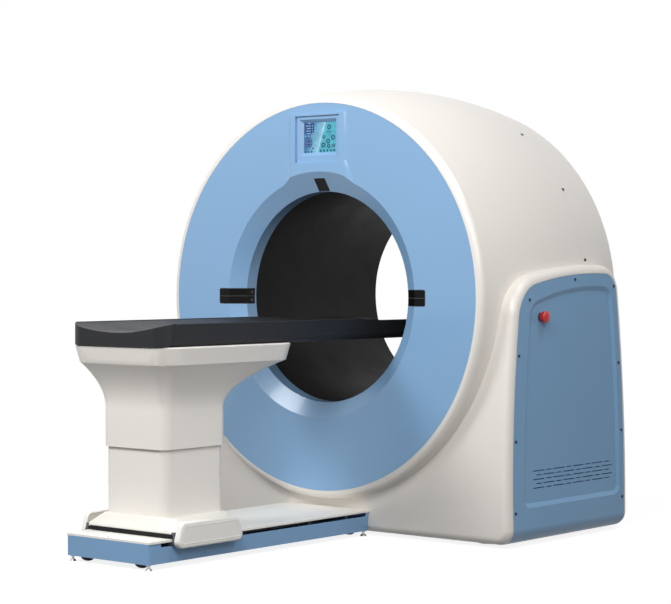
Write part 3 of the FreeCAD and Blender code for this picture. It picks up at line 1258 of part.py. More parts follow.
def build_base():
    """The low sheet box that the carriage runs in, its plate, feet, rails and drive."""
    width = "base_half_width"
    floor = "base_foot + base_sheet"
    outside = rounded("base_outside", box("base_block", (f"-{width}", width), ("-table_reach", BASE_END),
                                          ("base_foot", "base_top")), "base_round",
                                          lambda edge: runs_along("Z", edge))
    inside = box("base_inside", (f"base_sheet - {width}", f"{width} - base_sheet"),
                 ("base_sheet - table_reach", f"{BASE_END} - base_sheet"), (floor, "base_top * 2"))
    slot = box("base_slot", (f"-{width} * 2", f"{width} * 2"), ("-slot_start", "slot_end"),
               ("base_top - slot_height", "base_top * 2"))
    wells = [rod(f"caster_well_{name}", "Z", (x, y, "0"), "caster_well_radius", f"{floor} + base_sheet")
             for name, (x, y) in CASTERS.items()]
    studs = [rod(f"table_stud_hole_{i}", "Z", (x, y, "0"), "table_stud_radius + fit_gap / 2", "base_top")
             for i, (x, y) in enumerate(TABLE_FEET, start=1)]
    shelves = []
    for end, (start, stop) in (("front", ("base_sheet - table_reach", "caster_inset * 2 - table_reach")),
                               ("rear", (f"{BASE_END} - caster_inset * 2", f"{BASE_END} - base_sheet"))):
        shelf = box(f"caster_shelf_{end}", ("caster_x - caster_well_radius", f"{width} - base_sheet"),
                    (start, stop),
                    ("caster_plate_top", "caster_plate_top + base_sheet"))
        shelves.append(both_sides(f"caster_shelves_{end}", shelf))
    pivots = [rod(f"pivot_hole_{name}", "Z", (x, y, "caster_plate_top - base_sheet"),
                  "caster_pivot_radius + caster_axle_gap", "base_sheet * 3") for name,
                  (x, y) in CASTERS.items()]
    tray = cut("base_tray", outside, inside, slot, *wells)
    node("table_base", cut("table_base", fuse("base_with_shelves", tray, *shelves), *studs, *pivots))
    plate_reach = "top_plate_overhang"
    plate = rounded("base_plate_round",
                    box("base_plate", (f"-{width} - {plate_reach}", f"{width} + {plate_reach}"),
                                            ("-table_reach", BASE_END),
                                            ("base_top", "base_top + top_plate")),
                    "base_round", lambda edge: runs_along("Z", edge) and edge.CenterOfMass.y < 0)
    plate = edged("Part::Chamfer", "base_top_plate", plate, ("top_plate / 5", "top_plate / 5"),
                  lambda edge: lies_at(edge, "Z", "base_top + top_plate"))
    node("base_top_plate", plate)
    feet = []
    for i, (x, y) in enumerate(TABLE_FEET, start=1):
        feet.append(fuse(f"table_foot_{i}",
                         taper(f"table_pad_{i}", "Z", (x, y, 0), "table_foot_radius",
                               "table_foot_radius * 0.7",
                               "table_foot_height"),
                         rod(f"table_stud_{i}", "Z", (x, y, 0), "table_stud_radius",
                             "table_foot_height + table_stud_length"),
                         rod(f"table_nut_{i}", "Z", (x, y, "base_foot - table_stud_radius"),
                             "table_foot_radius * 0.7",
                             "table_stud_radius")))
    node("table_feet", group("table_feet", feet))
    rails = [box(f"rail_{side}",
                 (f"{sign} * rail_x - rail_half_width", f"{sign} * rail_x + rail_half_width"),
                 ("-rail_start", "-rail_end"), (floor, f"{floor} + rail_height"))
             for side, sign in (("left", -1), ("right", 1))]
    node("carriage_rails", group("carriage_rails", rails))


def build_casters():
    """Four swivel casters: fork with its pivot, and a wheel on an axle."""
    for name, (x, y) in CASTERS.items():
        ahead = 1 if name.startswith("rear") else -1
        wheel_y = f"{y} + {ahead} * caster_trail"
        wheel_z = "caster_lift + caster_wheel_radius"
        half = "(caster_wheel_width / 2 + fit_gap)"
        top = "caster_plate_top - fit_gap"
        plate = box(f"fork_plate_{name}", (f"{x} - {half} - caster_cheek", f"{x} + {half} + caster_cheek"),
                    (f"{y} - caster_trail * 1.25 + {ahead} * caster_trail / 4",
                     f"{y} + caster_trail * 1.25 + {ahead} * caster_trail / 4"),
                    (f"{top} - caster_plate", top))
        cheeks = []
        for side, sign in (("left", -1), ("right", 1)):
            inner = f"{x} + {sign} * ({half})"
            outer = f"{inner} + {sign} * caster_cheek"
            ends = (outer, inner) if sign < 0 else (inner, outer)
            cheeks.append(box(f"fork_cheek_{side}_{name}", ends,
                              (f"{wheel_y} - caster_trail / 2", f"{wheel_y} + caster_trail / 2"),
                              (f"{wheel_z} - caster_trail / 2", top)))
        axle = rod(f"fork_axle_{name}", "X", (f"{x} - {half} - caster_cheek", wheel_y, wheel_z),
                   "caster_axle_radius", f"({half} + caster_cheek) * 2")
        pivot = rod(f"fork_pivot_{name}", "Z", (x, y, f"{top} - caster_plate"), "caster_pivot_radius",
                    "caster_plate + base_sheet * 3")
        node(f"caster_fork_{name}", fuse(f"caster_fork_{name}", plate, *cheeks, axle, pivot))
        node(f"caster_wheel_{name}", turned(f"caster_wheel_{name}", [
            ("-caster_wheel_width / 2", "caster_axle_radius + caster_axle_gap"),
            ("-caster_wheel_width / 2", "caster_wheel_radius * 0.9"),
            ("0", "caster_wheel_radius", "caster_wheel_width / 2", "caster_wheel_radius * 0.9"),
            ("caster_wheel_width / 2", "caster_axle_radius + caster_axle_gap")],
            axis="X", centre=(x, wheel_y, wheel_z)))


def build_table_drive():
    """A ball screw along the base, turned by a motor, moves the nut on the carriage."""
    floor = "base_foot + base_sheet"
    axis = "screw_axis_height"
    bearing = "drive_bearing_length"
    half = "drive_motor_half"
    hole = "drive_screw_radius * 0.7 + fit_gap / 3"

    def block(name, start):
        stock = box(name + "_stock", (f"-{half}", half), (start, f"{start} + {bearing}"),
                    (floor, f"{axis} + {half} * 0.8"))
        return cut(name, stock,
                   rod(name + "_bore", "Y", (0, f"{start} - {bearing}", axis), hole, f"{bearing} * 3"))

    front = "-drive_screw_start"
    rear = f"-drive_motor_front - {bearing}"
    node("screw_bearings", group("screw_bearings", [block("screw_bearing_front", front),
                                                    block("screw_bearing_rear", rear)]))
    node("drive_screw", fuse("drive_screw",
                             rod("screw_journals", "Y", (0, front, axis), "drive_screw_radius * 0.7",
                                 "drive_screw_start - drive_motor_front + drive_bearing_length"),
                             rod("screw_thread", "Y", (0, f"{front} + {bearing} + fit_gap", axis),
                                 "drive_screw_radius", f"{rear} - ({front}) - {bearing} - 2 * fit_gap"),
                             rod("screw_collar", "Y", (0, f"{front} + {bearing} + fit_gap", axis),
                                 "drive_screw_radius * 1.3", "drive_screw_radius")))
    motor = box("drive_motor_box", (f"-{half}", half),
                ("-drive_motor_front", f"{BASE_END} - base_sheet * 3"),
                (floor, f"{axis} + {half} * 0.8"))
    shaft_space = rod("drive_motor_bore", "Y", (0, "-drive_motor_front - fit_gap", axis), hole,
                      f"{bearing} + fit_gap * 3")
    node("table_drive_motor", cut("table_drive_motor", motor, shaft_space))


# ---------------------------------------------------------------- carriage, saddle and columns

def build_carriage():
    """A frame that grips the rails inside the base and comes out through its side slots."""
    floor = "base_foot + base_sheet"
    reach = ("-carriage_start", "-carriage_end")
    wide = ("-carriage_half_width", "carriage_half_width")
    deck_top = "carriage_deck + carriage_deck_sheet"
    ring = cut("carriage_ring",
               box("carriage_block", wide, reach, ("carriage_floor", deck_top)),
               box("carriage_space",
                   ("carriage_side - carriage_half_width", "carriage_half_width - carriage_side"),
                   ("-carriage_start * 2", "0"), ("carriage_floor + carriage_sheet", "carriage_deck")))
    runners = []
    for side, sign in (("left", -1), ("right", 1)):
        middle = f"{sign} * rail_x"
        for end, start in (("front", "-carriage_start"), ("rear", "-carriage_end - runner_length")):
            runners.append(box(f"runner_{side}_{end}",
                               (f"{middle} - runner_half_width", f"{middle} + runner_half_width"),
                               (start, f"{start} + runner_length"),
                               (f"{floor} + rail_height / 3", "carriage_floor + carriage_sheet / 2")))
    channels = [box(f"channel_{side}",
                    (f"{sign} * rail_x - rail_half_width - slide_gap",
                     f"{sign} * rail_x + rail_half_width + slide_gap"),
                    ("-carriage_start * 2", "0"), (floor, f"{floor} + rail_height + slide_gap"))
                for side, sign in (("left", -1), ("right", 1))]
    nut_top = "carriage_floor + carriage_sheet / 2"
    nut = box("nut_block", ("-nut_half_width", "nut_half_width"),
              ("-column_centre - runner_length / 2", "-column_centre + runner_length / 2"),
              ("screw_axis_height - nut_half_width", nut_top))
    screw_space = rod("nut_bore", "Y", (0, "-table_reach", "screw_axis_height"),
                      "drive_screw_radius + fit_gap",
                      "table_reach")
    node("carriage_frame",
         cut("carriage_frame", fuse("carriage_solid", ring, *runners, nut), *channels, screw_space))


def rounded_section(name, half_width, start, end, corner, height):
    """A rectangle with round corners at a height."""
    inset = f"({corner}) * (1 - cos(45))"
    x = f"({half_width})"
    path = [(f"{x} - ({corner})", start),
            (f"{x} - {inset}", f"{start} + {inset}", x, f"{start} + {corner}"),
            (x, f"{end} - ({corner})"),
            (f"{x} - {inset}", f"{end} - {inset}", f"{x} - ({corner})", end),
            (f"{corner} - {x}", end),
            (f"{inset} - {x}", f"{end} - {inset}", f"-{x}", f"{end} - ({corner})"),
            (f"-{x}", f"{start} + {corner}"),
            (f"{inset} - {x}", f"{start} + {inset}", f"{corner} - {x}", start)]
    return outline(name, "XY", path, (0, 0, height))


def lofted(name, sections, ruled=False):
    item = doc.addObject("Part::Loft", name)
    item.Sections = sections
    item.Solid = True
    item.Ruled = ruled
    return item


def column_block(name, half_width, half_depth, corner, foot, top):
    stock = box(name + "_stock", (f"-({half_width})", half_width),
                (f"-column_centre - ({half_depth})", f"-column_centre + {half_depth}"), (foot, top))
    return rounded(name, stock, corner, lambda edge: runs_along("Z", edge))


def build_saddle():
    """The hood over the carriage, sloping from the column to its skirt, with a cover on each side."""
    def hood(name, inset, foot):
        return lofted(name, [
            rounded_section(name + "_foot", f"saddle_half_width - ({inset})", f"{inset} - saddle_start",
                            f"-saddle_end - ({inset})", f"saddle_corner - ({inset})", foot),
            rounded_section(name + "_top", f"upper_half_width + saddle_rest - ({inset})",
                            f"{inset} - column_centre - upper_half_depth - saddle_rest",
                            f"upper_half_depth + saddle_rest - column_centre - ({inset})",
                            f"column_corner - ({inset})", f"saddle_top - ({inset})")], ruled=True)

    hole = column_block("saddle_hole", "lower_half_width + fit_gap", "lower_half_depth + fit_gap",
                        "column_corner - column_wall", "carriage_deck", "saddle_top * 2")
    outside = fuse("saddle_outside", hood("hood_outside", "0", "carriage_deck + top_plate"),
                   rounded_foot("skirt_outside", "0"))
    inside = fuse("saddle_inside", hood("hood_inside", "saddle_wall", "carriage_deck + top_plate"),
                  rounded_foot("skirt_inside", "saddle_wall"))
    deck_space = box("saddle_deck_space",
                     ("-carriage_half_width - fit_gap", "carriage_half_width + fit_gap"),
                     ("-carriage_start - fit_gap", "-carriage_end + fit_gap"),
                     ("carriage_floor", "carriage_deck + carriage_deck_sheet + fit_gap"))
    node("saddle_cover", cut("saddle_cover", outside, inside, hole, deck_space))
    wall = "saddle_wall"

    def side_cover_path(inset):
        return [(f"{inset} - side_cover_foot_start", f"side_cover_foot + {inset}"),
                (f"{inset} - side_cover_top_start", f"side_cover_top - {inset}"),
                (f"-side_cover_top_end - {inset}", f"side_cover_top - {inset}"),
                (f"-side_cover_foot_end - {inset}", f"side_cover_foot + {inset}")]

    start = "saddle_half_width + fit_gap"
    stock = prism("side_cover_stock", "YZ", side_cover_path("0"), start, f"side_cover_outer - ({start})")
    across = lambda edge: runs_along("X", edge)
    shaped = rounded("side_cover_corners", stock, "side_cover_corner", across)
    shaped = rounded("side_cover_edges", shaped, "side_cover_edge",
                     lambda edge: lies_at(edge, "X", "side_cover_outer"))
    hollow = rounded("side_cover_hollow",
                     prism("side_cover_space", "YZ", side_cover_path(wall), f"{start} - {wall}",
                           f"side_cover_outer - ({start})"),
                     f"side_cover_corner - {wall}", across)
    cover = cut("side_cover", shaped, hollow)
    node("carriage_cover_right", cover)
    node("carriage_cover_left", mirrored("carriage_cover_left", cut("side_cover_source", shaped, hollow)))


def rounded_foot(name, inset):
    """The upright skirt at the foot of the hood."""
    stock = box(name + "_stock", (f"{inset} - saddle_half_width", f"saddle_half_width - ({inset})"),
                (f"{inset} - saddle_start", f"-saddle_end - ({inset})"),
                ("carriage_deck", "carriage_deck + top_plate"))
    return rounded(name, stock, f"saddle_corner - ({inset})", lambda edge: runs_along("Z", edge))


def build_columns():
    """The lower column on the carriage and the lifting column with the head that carries the table."""
    deck = "carriage_deck + carriage_deck_sheet"
    corner = "column_corner - column_wall"
    tube_item = cut("lower_tube",
                    column_block("lower_outside", "lower_half_width", "lower_half_depth", corner, deck,
                                 "lower_top"),
                    column_block("lower_inside", "lower_half_width - column_wall",
                                 "lower_half_depth - column_wall",
                                 f"{corner} - column_wall", f"{deck} + column_wall * 2", "lower_top * 2"))
    node("lower_column", tube_item)
    gap = "upper_half_width - column_wall - lower_half_width"
    gap_y = "upper_half_depth - column_wall - lower_half_depth"
    heights = ("lower_top - glide_length", "lower_top")
    glides = []
    for side, sign in (("left", -1), ("right", 1)):
        near = f"{sign} * lower_half_width"
        far = f"{sign} * (lower_half_width + {gap} - slide_gap)"
        glides.append(box(f"glide_{side}", (far, near) if sign < 0 else (near, far),
                          ("-column_centre - glide_half_width", "-column_centre + glide_half_width"),
                          heights))
    for side, sign in (("front", -1), ("rear", 1)):
        near = f"{sign} * lower_half_depth - column_centre"
        far = f"{sign} * (lower_half_depth + {gap_y} - slide_gap) - column_centre"
        glides.append(box(f"glide_{side}", ("-glide_half_width", "glide_half_width"),
                          (far, near) if sign < 0 else (near, far), heights))
    node("column_glides", group("column_glides", glides))
    seat = f"{deck} + column_wall * 2"
    body_item = rod("actuator_can", "Z", (0, "-column_centre", seat), "actuator_radius",
                    f"actuator_top - ({seat})")
    bore = rod("actuator_space", "Z", (0, "-column_centre", f"{seat} + column_wall"), "actuator_bore",
               "actuator_top")
    node("lift_actuator", cut("lift_actuator", body_item, bore))
    rod_top = "head_top - column_wall * 2"
    node("lift_rod", fuse("lift_rod",
                          rod("lift_rod_bar", "Z", (0, "-column_centre", "actuator_rod_foot"),
                              "actuator_rod_radius",
                              f"{rod_top} - actuator_rod_foot"),
                          rod("lift_rod_cap", "Z", (0, "-column_centre", f"{rod_top} - column_wall * 2"),
                              "actuator_radius", "column_wall * 2")))
    node("upper_column", build_head())


def build_head():
    """Upper column, flare and head band in one hollow casting."""
    steps = int(value("flare_sections"))

    def flare(name, inset):
        """Sections that widen with the square of the height, from the column to the head."""
        sections = []
        for step in range(steps + 1):
            share = f"({step} / {steps})^2"
            height = f"flare_start + (head_foot - flare_start) * {step} / {steps}"
            grow = lambda near, far: f"({near}) + (({far}) - ({near})) * {share}"
            half = grow("upper_half_width", "head_foot_half_width")
            start = grow("column_centre + upper_half_depth", "head_start - head_taper")
            end = grow("column_centre - upper_half_depth", "head_end + head_taper")
            corner = grow("column_corner", "head_corner")
            sections.append(rounded_section(f"{name}_{step}", f"{half} - {inset}", f"{inset} - ({start})",
                                            f"-({end}) - {inset}", f"{corner} - {inset}", height))
        return lofted(name, sections)

    def band(name, inset, top):
        return lofted(name, [
            rounded_section(name + "_foot", f"head_foot_half_width - {inset}",
                            f"{inset} - head_start + head_taper", f"-head_end - head_taper - {inset}",
                            f"head_corner - {inset}", "head_foot"),
            rounded_section(name + "_lip", f"head_half_width - {inset}", f"{inset} - head_start",
                            f"-head_end - {inset}", f"head_corner - {inset}", f"{top} - head_lip"),
            rounded_section(name + "_top", f"head_half_width - {inset} - head_lip",
                            f"{inset} + head_lip - head_start", f"-head_end - {inset} - head_lip",
                            f"head_corner - {inset} - head_lip", top)], ruled=True)

    def column(name, inset, foot):
        return column_block(name, f"upper_half_width - {inset}", f"upper_half_depth - {inset}",
                            f"column_corner - {inset}", foot, "flare_start")

    outside = fuse("head_outside", column("upper_outside", "0", "upper_foot"), flare("flare_outside", "0"),
                   band("band_outside", "0", "head_top"))
    inside = fuse("head_inside", column("upper_inside", "column_wall", "upper_foot - column_wall"),
                  flare("flare_inside", "column_wall"),
                  band("band_inside", "column_wall", "head_top - column_wall * 2"))
    return cut("upper_column", outside, inside)


def build_tabletop():
    """The trough that the patient lies in, rounded at both ends."""
    rim = "top_half_width - top_rim_width"
    low_side = "top_half_width - (top_half_width - top_foot_half_width) * 0.16"
    section = prism("top_section", "XZ", [
        ("-top_foot_half_width", "head_top"), ("top_foot_half_width", "head_top"),
        ("top_foot_half_width + (top_half_width - top_foot_half_width) * 0.62",
         "head_top + top_side_height * 0.3",
         low_side, "head_top + top_side_height"),
        ("top_half_width", "top_rim - top_rim_width * 0.3"),
        ("top_half_width - top_rim_width * 0.25", "top_rim", rim, "top_rim - top_rim_width * 0.2"),
        ("0", "top_rim - top_trough", f"-({rim})", "top_rim - top_rim_width * 0.2"),
        ("-top_half_width + top_rim_width * 0.25", "top_rim", "-top_half_width",
         "top_rim - top_rim_width * 0.3"),
        (f"-({low_side})", "head_top + top_side_height"),
        ("-top_foot_half_width - (top_half_width - top_foot_half_width) * 0.62",
         "head_top + top_side_height * 0.3",
         "-top_foot_half_width", "head_top")], "-top_start", "top_start + top_end")
    plan = rounded("top_plan",
                   box("top_plan_stock", ("-top_half_width", "top_half_width"), ("-top_start", "top_end"),
                                   ("head_top", "top_rim + top_rim_width")), "top_corner",
                   lambda edge: runs_along("Z", edge))
    drop_end = "top_drop_length - top_drop_start"
    over = "top_rim + top_rim_width"
    drop = prism("rim_drop", "YZ", [
        ("-top_drop_start", over), ("-top_drop_start", "top_rim"), (drop_end, "top_rim - top_rim_drop"),
        ("top_end * 1.1", "top_rim - top_rim_drop"), ("top_end * 1.1", over)],
        "-top_half_width * 1.1", "top_half_width * 2.2")
    node("tabletop", cut("tabletop", common("top_rounded", section, plan), drop))


# ---------------------------------------------------------------- whole machine

def build_all():
    outside, shell = build_shell()
    build_covers(shell)
    build_side_panels(outside)
    build_emergency_stop()
    build_face()
    build_display()
    build_lasers()
    build_liner()
    build_gantry_frame()
    build_bearing()
    build_rotor()
    build_rotor_drive()
    build_base()
    build_casters()
    build_table_drive()
    build_carriage()
    build_saddle()
    build_columns()
    build_tabletop()


def check_and_write():
    """Stop on a failed feature or a bad solid, then write one file for each piece."""
    doc.recompute()
    failed = [item.Name for item in doc.Objects if "Invalid" in item.State or "Error" in item.State]
    if failed:
        raise SystemExit(f"failed features: {failed}")
    for label, item in pieces.items():
        shape = item.Shape
        if shape.isNull() or not shape.isValid() or not shape.Solids:
            raise SystemExit(f"bad solid: {label}")
    os.makedirs("parts", exist_ok=True)
    for label, item in pieces.items():
        item.Shape.exportStep(f"parts/{label}.step")
    print(f"{len(pieces)} pieces written")


build_all()
check_and_write()
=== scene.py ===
import json
import math

import bmesh
import bpy
from mathutils import Matrix, Vector


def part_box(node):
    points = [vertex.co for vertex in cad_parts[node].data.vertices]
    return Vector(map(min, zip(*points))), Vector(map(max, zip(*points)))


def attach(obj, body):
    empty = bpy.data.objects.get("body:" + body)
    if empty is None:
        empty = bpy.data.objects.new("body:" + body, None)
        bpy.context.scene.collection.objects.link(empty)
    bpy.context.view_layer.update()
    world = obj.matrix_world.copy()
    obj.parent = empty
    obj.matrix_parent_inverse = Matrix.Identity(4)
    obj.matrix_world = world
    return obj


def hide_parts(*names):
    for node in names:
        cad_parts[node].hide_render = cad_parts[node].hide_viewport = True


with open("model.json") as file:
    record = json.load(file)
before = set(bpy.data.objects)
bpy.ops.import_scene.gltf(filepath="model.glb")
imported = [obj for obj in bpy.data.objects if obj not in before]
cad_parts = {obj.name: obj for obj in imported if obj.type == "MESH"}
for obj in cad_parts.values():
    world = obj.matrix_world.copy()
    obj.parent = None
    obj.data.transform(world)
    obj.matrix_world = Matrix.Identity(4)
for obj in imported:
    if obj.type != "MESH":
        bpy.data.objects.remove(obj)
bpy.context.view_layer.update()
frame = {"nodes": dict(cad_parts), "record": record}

# Sizes are in metres. Seen from the table's foot end, x runs to the right, y towards the gantry and z up.
FRONT = 0.095          # the gantry's front face
AXIS_HEIGHT = 0.805    # the bore's axis above the floor
BORE_RADIUS = 0.36
CONE_RADIUS = 0.413    # where the flat face ends and the cone begins
CONE_DEPTH = 0.036
HAIR = 0.0003          # how far a flat mark stands off what it lies on

# The visible screen, in the gantry's own width and height, and the slant of the pale ray on it.
SCREEN_LOW, SCREEN_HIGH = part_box("display_screen")
SCREEN_MIDDLE = (SCREEN_LOW.z + SCREEN_HIGH.z) / 2
RAY_SLANT = 0.347


# ---------------------------------------------------------------- building node trees

def feed(tree, node, values):
    """Give a node's inputs their values: constants, or other nodes' outputs."""
    for name, value in values.items():
        if isinstance(value, bpy.types.NodeSocket):
            tree.links.new(value, node.inputs[name])
        else:
            node.inputs[name].default_value = value


def add(tree, kind, settings=None, values=None):
    """A new node with its settings and the values of its inputs."""
    node = tree.nodes.new(kind)
    for name, value in (settings or {}).items():
        setattr(node, name, value)
    feed(tree, node, values or {})
    return node


def object_place(tree):
    """The shaded point in the object's own coordinates."""
    return add(tree, "ShaderNodeTexCoord").outputs["Object"]


def calc(tree, operation, *terms):
    """One step of arithmetic on numbers or other nodes' outputs."""
    return add(tree, "ShaderNodeMath", {"operation": operation}, dict(enumerate(terms))).outputs[0]


def scaled(tree, colour, factor):
    """A colour times a factor."""
    return add(tree, "ShaderNodeVectorMath", {"operation": "SCALE"}, {0: colour, "Scale": factor}).outputs[0]


def noise(tree, place, scale, detail, roughness, distortion=0.0):
    """Cloudy noise between 0 and 1."""
    return add(tree, "ShaderNodeTexNoise", values={
        "Vector": place, "Scale": scale, "Detail": detail, "Roughness": roughness, "Distortion": distortion,
    }).outputs["Fac"]


def map_range(tree, value, source, target, interpolation="LINEAR"):
    """Carry a value over from one range to another."""
    return add(tree, "ShaderNodeMapRange", {"interpolation_type": interpolation}, {
        "Value": value, "From Min": source[0], "From Max": source[1],
        "To Min": target[0], "To Max": target[1],
    }).outputs["Result"]


def new_group(name, inputs, outputs):
    """A shader node group; inputs are (name, kind, default) each and outputs (name, kind)."""
    group = bpy.data.node_groups.new(name, "ShaderNodeTree")
    for label, kind, default in inputs:
        socket = group.interface.new_socket(name=label, in_out="INPUT", socket_type=kind)
        socket.default_value = default
    for label, kind in outputs:
        group.interface.new_socket(name=label, in_out="OUTPUT", socket_type=kind)
    return group, group.nodes.new("NodeGroupInput").outputs, group.nodes.new("NodeGroupOutput")


# ---------------------------------------------------------------- node groups for shared effects

def paint_skin_group():
    """Sprayed or moulded skin: fine orange peel, soft clouding of the tone and a rub mark here and there."""
    group, given, out = new_group("PaintSkin", [
        ("Colour", "NodeSocketColor", (0.8, 0.8, 0.8, 1)),
        ("Clouding", "NodeSocketFloat", 0.03),
        ("Peel Scale", "NodeSocketFloat", 420.0),
        ("Roughness", "NodeSocketFloat", 0.35),
        ("Rub", "NodeSocketFloat", 0.05),
    ], [("Colour", "NodeSocketColor"), ("Roughness", "NodeSocketFloat"), ("Height", "NodeSocketFloat")])
    place = object_place(group)
    cloud = map_range(group, noise(group, place, 2.3, 4.0, 0.5), (0.3, 0.7), (-1.0, 1.0))
    tone = calc(group, "MULTIPLY_ADD", cloud, given["Clouding"], 1.0)
    marks = map_range(group, noise(group, place, 9.0, 6.0, 0.65, 0.4), (0.42, 0.72), (0.0, 1.0))
    feed(group, out, {
        "Colour": scaled(group, given["Colour"], tone),
        "Roughness": calc(group, "MULTIPLY_ADD", marks, given["Rub"], given["Roughness"]),
        "Height": noise(group, place, given["Peel Scale"], 2.0, 0.4),
    })
    return group


def metal_grain_group():
    """Machined or plated metal: fine lines along one axis, and patches of dulled finish."""
    group, given, out = new_group("MetalGrain", [
        ("Colour", "NodeSocketColor", (0.5, 0.5, 0.5, 1)),
        ("Stretch", "NodeSocketVector", (1.0, 1.0, 1.0)),
        ("Roughness", "NodeSocketFloat", 0.3),
    ], [("Colour", "NodeSocketColor"), ("Roughness", "NodeSocketFloat"), ("Height", "NodeSocketFloat")])
    place = object_place(group)
    stretched = add(group, "ShaderNodeVectorMath", {"operation": "MULTIPLY"}, {0: place, 1: given["Stretch"]})
    lines = noise(group, stretched.outputs[0], 260.0, 3.0, 0.6)
    tone = map_range(group, noise(group, place, 18.0, 4.0, 0.6), (0.25, 0.75), (0.82, 1.12))
    dull = map_range(group, lines, (0.3, 0.7), (-0.06, 0.12))
    feed(group, out, {
        "Colour": scaled(group, given["Colour"], tone),
        "Roughness": calc(group, "ADD", dull, given["Roughness"]),
        "Height": lines,
    })
    return group


def weave_group():
    """Crossed threads: two sets of waves, each over and under the other."""
    group, given, out = new_group("Weave", [
        ("Scale", "NodeSocketFloat", 200.0),
        ("Contrast", "NodeSocketFloat", 0.2),
    ], [("Tone", "NodeSocketFloat"), ("Height", "NodeSocketFloat")])
    place = object_place(group)
    threads = [
        add(group, "ShaderNodeTexWave", {"wave_type": "BANDS", "bands_direction": direction},
            {"Vector": place, "Scale": given["Scale"], "Distortion": 0.3, "Detail": 1.0}).outputs["Fac"]
        for direction in "XY"
    ]
    crossed = calc(group, "MULTIPLY", *threads)
    tone = calc(group, "MULTIPLY_ADD", crossed, given["Contrast"], 0.92)
    feed(group, out, {"Tone": tone, "Height": crossed})
    return group


PAINT_SKIN = paint_skin_group()
WEAVE = weave_group()
METAL_GRAIN = metal_grain_group()


# ---------------------------------------------------------------- materials

COAT_ROUGHNESS = 0.1
SCREEN_GLASS = {"Base Color": (0.006, 0.008, 0.01, 1), "Emission Strength": 0.85}


def start_material(name):
    material = bpy.data.materials.new(name)
    material.use_nodes = True
    tree = material.node_tree
    return material, tree, tree.nodes["Principled BSDF"]


def srgb(red, green, blue):
    """An 8-bit screen colour as the linear one that the shader takes."""
    def linear(part):
        part /= 255
        return part / 12.92 if part <= 0.04045 else ((part + 0.055) / 1.055) ** 2.4
    return (linear(red), linear(green), linear(blue), 1.0)


def bumped(tree, height, depth, distance=0.001):
    """The normal that a height gives."""
    return add(tree, "ShaderNodeBump", values={
        "Height": height, "Strength": depth, "Distance": distance}).outputs["Normal"]


def paint_skin(tree, colour, roughness, clouding, peel, rub):
    """The outputs of the paint skin with these values."""
    return add(tree, "ShaderNodeGroup", {"node_tree": PAINT_SKIN}, {
        "Colour": colour, "Roughness": roughness, "Clouding": clouding, "Peel Scale": peel, "Rub": rub,
    }).outputs


def painted(name, colour, roughness, clouding=0.02, peel=420.0, peel_depth=0.05, rub=0.05, coat=0.0,
            level=0.5):
    """Paint or moulded plastic with its skin; level is the strength of its mirrored light."""
    material, tree, shader = start_material(name)
    skin = paint_skin(tree, colour, roughness, clouding, peel, rub)
    feed(tree, shader, {
        "Base Color": skin["Colour"], "Roughness": skin["Roughness"], "Specular IOR Level": level,
        "Coat Weight": coat, "Coat Roughness": COAT_ROUGHNESS,
        "Normal": bumped(tree, skin["Height"], peel_depth),
    })
    return material


def metal(name, colour, roughness, stretch=(1.0, 1.0, 1.0)):
    """Bare or plated metal with its grain."""
    material, tree, shader = start_material(name)
    grain = add(tree, "ShaderNodeGroup", {"node_tree": METAL_GRAIN},
                {"Colour": colour, "Stretch": stretch, "Roughness": roughness}).outputs
    feed(tree, shader, {
        "Base Color": grain["Colour"], "Roughness": grain["Roughness"], "Metallic": 1.0,
        "Normal": bumped(tree, grain["Height"], 0.08, 0.0005),
    })
    return material


def laminate(name, colour, roughness):
    """Carbon laminate with a dull finish: a fine crossed weave that only shows close up."""
    material, tree, shader = start_material(name)
    skin = paint_skin(tree, colour, roughness, clouding=0.05, peel=700.0, rub=0.1)
    weave = add(tree, "ShaderNodeGroup", {"node_tree": WEAVE}, {"Scale": 190.0, "Contrast": 0.22}).outputs
    feed(tree, shader, {
        "Base Color": scaled(tree, skin["Colour"], weave["Tone"]), "Roughness": skin["Roughness"],
        "Specular IOR Level": 0.25,
        "Normal": bumped(tree, weave["Height"], 0.08, 0.0004),
    })
    return material


def screen_picture():
    """The lit screen: blue at the left, a pale slanting ray, and blue-green at the right."""
    material, tree, shader = start_material("ScreenPicture")
    half_width = 0.09
    place = object_place(tree)
    parts = add(tree, "ShaderNodeSeparateXYZ", values={0: place}).outputs
    slant = calc(tree, "MULTIPLY_ADD", parts["Z"], -RAY_SLANT, RAY_SLANT * SCREEN_MIDDLE)
    across = calc(tree, "ADD", parts["X"], slant)
    ramp = add(tree, "ShaderNodeValToRGB", values={
        0: map_range(tree, across, (-half_width, half_width), (0.0, 1.0))})
    stops = [(0.0, srgb(28, 88, 148)), (0.24, srgb(52, 126, 182)), (0.40, srgb(120, 190, 222)),
             (0.515, srgb(150, 208, 236)), (0.53, srgb(206, 240, 255)), (0.55, srgb(104, 200, 224)),
             (0.62, srgb(62, 180, 204)), (1.0, srgb(86, 190, 214))]
    while len(ramp.color_ramp.elements) < len(stops):
        ramp.color_ramp.elements.new(0.5)
    for element, (position, colour) in zip(ramp.color_ramp.elements, stops):
        element.position = position
        element.color = colour
    glow = map_range(tree, noise(tree, place, 46.0, 2.0, 0.5), (0.3, 0.7), (0.82, 1.12))
    feed(tree, shader, {
        **SCREEN_GLASS, "Emission Color": scaled(tree, ramp.outputs["Color"], glow), "Roughness": 0.12})
    return material


def lit_mark(name, colour):
    """A shape on the lit screen, a little uneven as pixels are."""
    material, tree, shader = start_material(name)
    skin = paint_skin(tree, colour, 0.14, clouding=0.18, peel=500.0, rub=0.02)
    feed(tree, shader, {**SCREEN_GLASS, "Emission Color": skin["Colour"], "Roughness": skin["Roughness"]})
    return material


